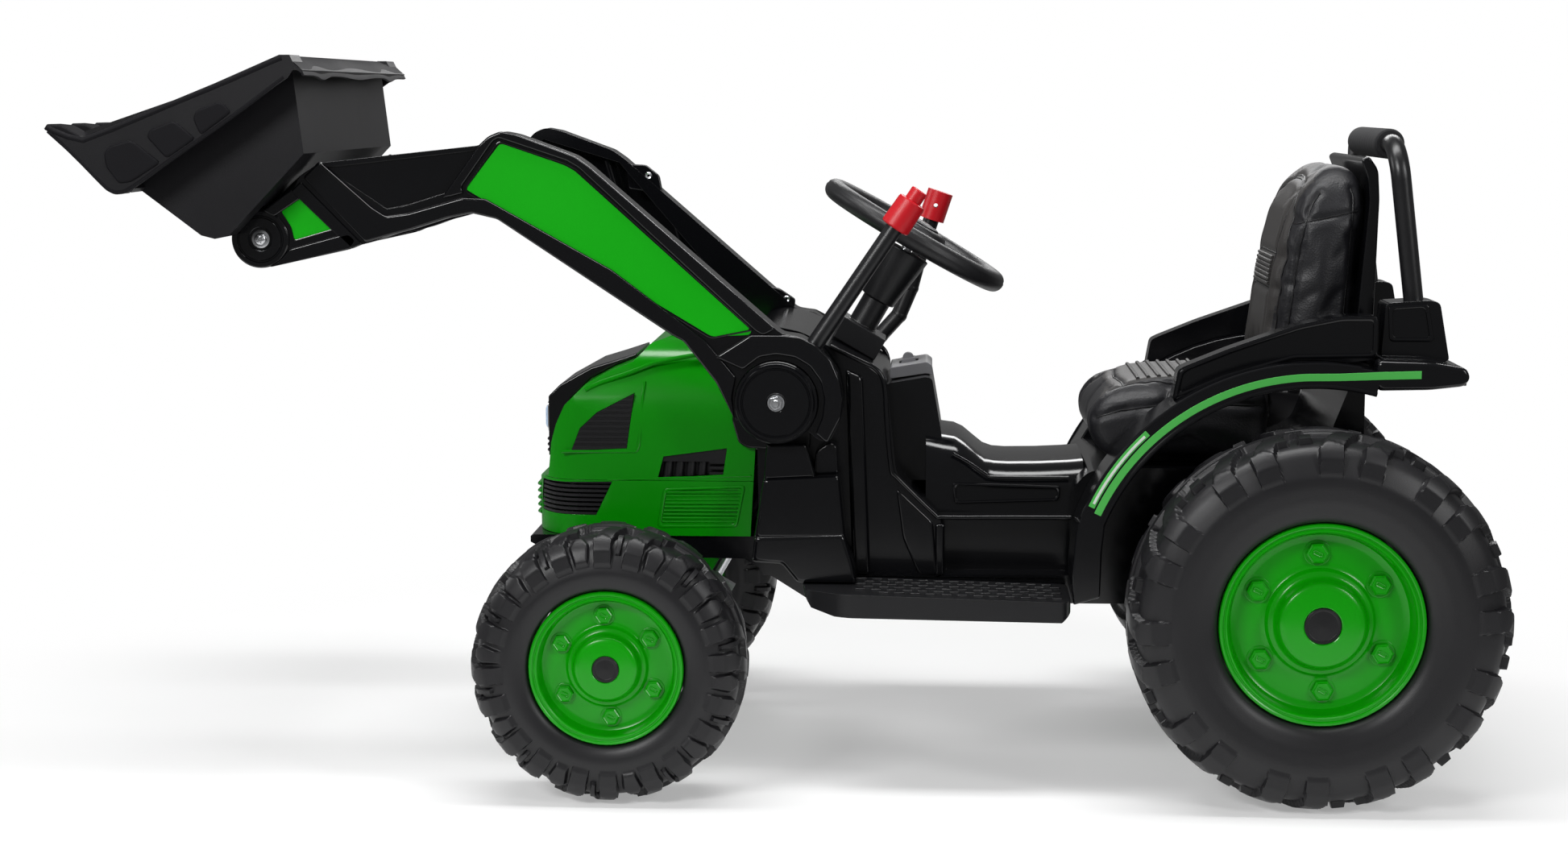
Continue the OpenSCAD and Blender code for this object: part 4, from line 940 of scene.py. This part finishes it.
def soft_pad(name, verts, faces, body, replaces, cap, seams, light):
    """A cushion: a remeshed form swollen by a cloth simulation, then drawn in along its seams."""
    mesh = bpy.data.meshes.new(name + "_form")
    mesh.from_pydata([tuple(c * MM for c in v) for v in verts], [], faces)
    form = bpy.data.objects.new(name + "_form", mesh)
    bpy.context.scene.collection.objects.link(form)

    def settled():
        return bpy.data.meshes.new_from_object(form.evaluated_get(bpy.context.evaluated_depsgraph_get()))

    even = form.modifiers.new("even", "REMESH")
    even.mode, even.voxel_size = "VOXEL", VOXEL
    form.data = settled()
    form.modifiers.clear()
    rest = [v.co.copy() for v in form.data.vertices]
    cloth = form.modifiers.new("cloth", "CLOTH")
    cloth.settings.use_pressure = True
    cloth.settings.uniform_pressure_force = PRESSURE
    cloth.settings.effector_weights.gravity = 0
    cloth.point_cache.frame_start, cloth.point_cache.frame_end = 1, LAST_FRAME
    for number in range(1, LAST_FRAME + 1):
        bpy.context.scene.frame_set(number)
    swollen = settled()
    form.modifiers.clear()
    for v, was in zip(swollen.vertices, rest):
        way = v.co - was
        if way.length > cap * MM:
            v.co = was + way * (cap * MM / way.length)
    form.data = swollen
    bpy.context.scene.frame_set(1)
    fine = form.modifiers.new("fine", "SUBSURF")
    fine.levels = 1
    done = settled()
    bpy.data.objects.remove(form)
    tree = BVHTree.FromPolygons([v.co for v in done.vertices], [tuple(f.vertices) for f in done.polygons])
    lines = []
    for path, way in seams:
        way = Vector(way).normalized()
        hits = []
        for spot in smooth_path(path, 6):
            at = tree.ray_cast(Vector(spot) * MM - way * 0.2, way)[0]
            if at is not None:
                hits.append(at)
        lines.append(hits)
    near = KDTree(sum(len(h) for h in lines) * 4)
    count = 0
    for hits in lines:
        for a, b in zip(hits, hits[1:]):
            for k in range(4):
                near.insert(a.lerp(b, k / 4), count)
                count += 1
    near.balance()
    ways = [v.normal.copy() for v in done.vertices]
    for v, way in zip(done.vertices, ways):
        gap = near.find(v.co)[2] * 1000
        v.co -= way * MM * (SEAM_DEPTH * math.exp(-(gap / SEAM_WIDTH) ** 2) - 0.5 * math.exp(-((gap - 9) / 4) ** 2))
    piece = new_piece(name, [tuple(v.co) for v in done.vertices], [tuple(f.vertices) for f in done.polygons],
                      LEATHER, body, replaces, 70, False, scale=1)
    # Faces that the light test picks take the lighter leather: painted light where they turn to the lamps.
    piece.data.materials.append(LEATHER_PAINTED_LIT)
    for f in piece.data.polygons:
        f.material_index = 1 if light(f.center / MM, f.normal) else 0
    tree = BVHTree.FromPolygons([v.co for v in done.vertices], [tuple(f.vertices) for f in done.polygons])
    piping = Shape()
    for hits in lines:
        points = []
        for at in hits:
            spot, way = tree.find_nearest(at)[:2]
            points.append(tuple((spot + way * 0.0001) / MM))
        piping.add(*tube(points, 0.9, 8))
    piping.piece(name + "_piping", SATIN, body, "black_matte_plastic")
    return tree


def across_y(line, half, n=9):
    return [(line[0], -half + 2 * half * k / (n - 1), line[1]) for k in range(n)]


FRONT_EDGE = [(416, 502), (460, 508), (500, 512), (555, 520.5), (595, 530), (612, 537), (624, 546), (632, 558),
              (636, 570)]
BACK_EDGE = [(416, 584), (500, 592), (598, 598), (618, 596), (628, 591), (636, 580)]
levels = [417, 420, 440, 470, 500, 530, 555, 575, 592, 605, 615, 622, 628, 632, 634.5]
back_v, back_f = [], []
for z in levels:
    xf = np.interp(z, [a for a, b in FRONT_EDGE], [b for a, b in FRONT_EDGE]) + 2
    xb = np.interp(z, [a for a, b in BACK_EDGE], [b for a, b in BACK_EDGE]) + 2
    top = max(0.0, (z - 568) / 68.0)
    half = 106 - 46 * (1 - math.sqrt(max(0.0, 1 - top * top)))
    ring = soft([(xf, -half), (xb, -half), (xb, half), (xf, half)], min(20, (xb - xf) * 0.42), 6)
    count = len(ring)
    back_v += [(x, y, z) for x, y in ring]
for j in range(len(levels) - 1):
    back_f += [(j * count + i, j * count + (i + 1) % count,
                (j + 1) * count + (i + 1) % count, (j + 1) * count + i)
               for i in range(count)]
back_f += [tuple(range(count))[::-1], tuple(range((len(levels) - 1) * count, len(levels) * count))]


def arch(half_path):
    """A path up the left side, and back down the right side."""
    return half_path + [(x, -y, z) for x, y, z in half_path[-2::-1]]


def twins(path, way):
    """A seam on the left and the same one on the right."""
    return [(path, way), ([(x, -y, z) for x, y, z in path], (way[0], -way[1], way[2]))]


inner = arch([(400, -60, 424), (400, -60, 480), (400, -61, 540), (400, -66, 575), (400, -62, 600),
              (400, -44, 617), (400, 0, 622)])
outer = arch([(480, -84, 424), (480, -84, 500), (480, -84, 560), (480, -80, 590), (480, -66, 612),
              (480, -40, 624), (480, 0, 627)])
back_seams = [(inner, (1, 0, 0)), (outer, (1, 0, -0.12)),
              (across_y((400, 541), 60), (1, 0, 0)), (across_y((400, 504), 60), (1, 0, 0)),
              *twins([(528, -150, 574), (560, -150, 581), (592, -150, 587)], (0, 1, 0)),
              *twins([(518, -150, 424), (527, -150, 500), (535, -150, 560), (543, -150, 590),
                      (553, -150, 606)], (0, 1, 0)),
              *twins([(577, -150, 424), (583, -150, 500), (588, -150, 590), (586, -150, 610)], (0, 1, 0))]
# The backrest's front faces inside the outer seams get the lighter leather: painted light from the front lamps.
back_tree = soft_pad("backrest_pad", back_v, back_f, "chassis", ("backrest_cushion",), 7,
                     back_seams, lambda c, n: n.x < -0.55 and abs(c.y) < 84)
SEAT = [(338, 328), (503, 328), (505, 404), (450, 408.5), (372, 405), (331, 394.5), (317, 374), (320, 350)]
seat_v, seat_f = plate(SEAT, -111, 111, 17, 13, steps=5)
seat_seams = [*twins([(470, -84, 500), (420, -84, 500), (372, -83, 500), (340, -82, 500)], (0, 0, -1)),
              ([(356, -82, 500), (353, -40, 500), (351, 0, 500), (353, 40, 500), (356, 82, 500)], (0, 0, -1)),
              *twins([(100, -82, 388), (100, -82, 340)], (1, 0, 0)),
              *twins([(326, -200, 372), (360, -200, 382), (430, -200, 388), (500, -200, 386)], (0, 1, 0)),
              *twins([(402, -150, 400), (392, -150, 372), (384, -150, 334)], (0, 1, 0))]
# The seat's upward faces inside the outer seams get the lighter leather: painted light from the top lamp.
seat_tree = soft_pad("seat_pad", seat_v, seat_f, "chassis", ("seat_cushion",), 6,
                     seat_seams, lambda c, n: n.z > 0.75 and abs(c.y) < 84)
# The ribs take the lighter leather as well: painted light on the centre panels.
ribs = Shape()
for k in range(7):
    z = 509 + 4.6 * k
    points = []
    for n in range(13):
        at, way = back_tree.ray_cast(Vector((0.4, (-56 + 112 * n / 12) * MM, z * MM)), Vector((1, 0, 0)))[:2]
        points.append((at.x / MM - 0.9, at.y / MM, z))
    ribs.add(*tube(points, 1.9, 8))
for k in range(9):
    x = 372 + 11 * k
    points = []
    for n in range(13):
        at, way = seat_tree.ray_cast(Vector((x * MM, (-76 + 152 * n / 12) * MM, 0.6)), Vector((0, 0, -1)))[:2]
        points.append((at.x / MM, at.y / MM, at.z / MM + 0.2))
    ribs.add(*tube(points, 2.2, 8))
ribs.piece("seat_ribs", LEATHER_PAINTED_LIT, "chassis", "black_leather")

# ---- Foam grip on the roll bar ----
foam = Shape().add(*revolve([(10.1, -88), (13.4, -88), (15.0, -86.6), (15.6, -84)]
                            + [(15.5 + 0.12 * math.sin(1.7 * k), -82 + 4 * k) for k in range(42)]
                            + [(15.6, 84), (15.0, 86.6), (13.4, 88), (10.1, 88)], 48))
bar_x, bar_z = 645 - 161 * math.sin(math.radians(7.3)), 496 + 161 * math.cos(math.radians(7.3))
foam.moved(lambda u, v, h: (bar_x + u, h, bar_z + v))
foam.piece("roll_bar_grip_skin", FOAM, "chassis", "foam", ("roll_bar_grip",))

# ---- CAD nodes that keep their own shape get their finish ----
FINISH = {
    "black_gloss_plastic": GLOSS, "black_matte_plastic": SATIN, "bucket_plastic": BUCKET,
    "green_body": GREEN, "green_rim": RIM, "green_decal": DECAL, "tyre_plastic": TYRE, "lens": LENS,
    "grey_panel": GREY, "black_leather": LEATHER, "black_tube": TUBE, "foam": FOAM,
    "zinc_steel": ZINC, "red_grip": RED, "wheel_rubber": WHEEL}
slot_of = {p["node"]: p["material_slot"] for p in frame["record"]["subparts"]}
body_of = {n: b for b, ns in frame["record"]["behaviour"]["bodies"].items() for n in ns}
for node_name, thing in frame["nodes"].items():
    thing.data.materials.clear()
    thing.data.materials.append(FINISH[slot_of[node_name]])
ROUNDED = {
    "body_shell": 3.0, "pivot_hubs": 1.5,
    "footboard_left": 2.5, "footboard_right": 2.5, "fender_left": 3.0, "fender_right": 3.0,
    "armrest_left": 4.0, "armrest_right": 4.0, "rear_bumper": 3.0, "hood_visor": 2.0,
    "steering_column": 1.5, "front_axle_beam": 1.5, "battery": 2.0, "control_box": 1.0,
    "drive_gearboxes": 1.5, "steering_gearbox": 1.0, "accelerator_pedal": 1.0, "control_panel": 1.5,
    "direction_switch": 1.0, "chassis_tub": 1.5, "backrest_shell": 2.5, "hood_upper": 2.0,
    "hood_lower": 2.0, "lift_arm_left": 3.0, "lift_arm_right": 3.0, "bucket": 1.0,
    "knuckle_left": 0.8, "knuckle_right": 0.8, "tie_rod": 0.6}
for node_name, width in ROUNDED.items():
    refined(node_name, width, FINISH[slot_of[node_name]], body_of[node_name])

# ---- Floor ----
floor_mesh = bpy.data.meshes.new("floor")
floor_mesh.from_pydata([(1.3 * math.cos(k * math.pi / 48), 1.3 * math.sin(k * math.pi / 48), -0.0004)
                        for k in range(96)], [], [tuple(range(96))])
floor_mesh.materials.append(FLOOR)
floor = bpy.data.objects.new("floor", floor_mesh)
bpy.context.scene.collection.objects.link(floor)
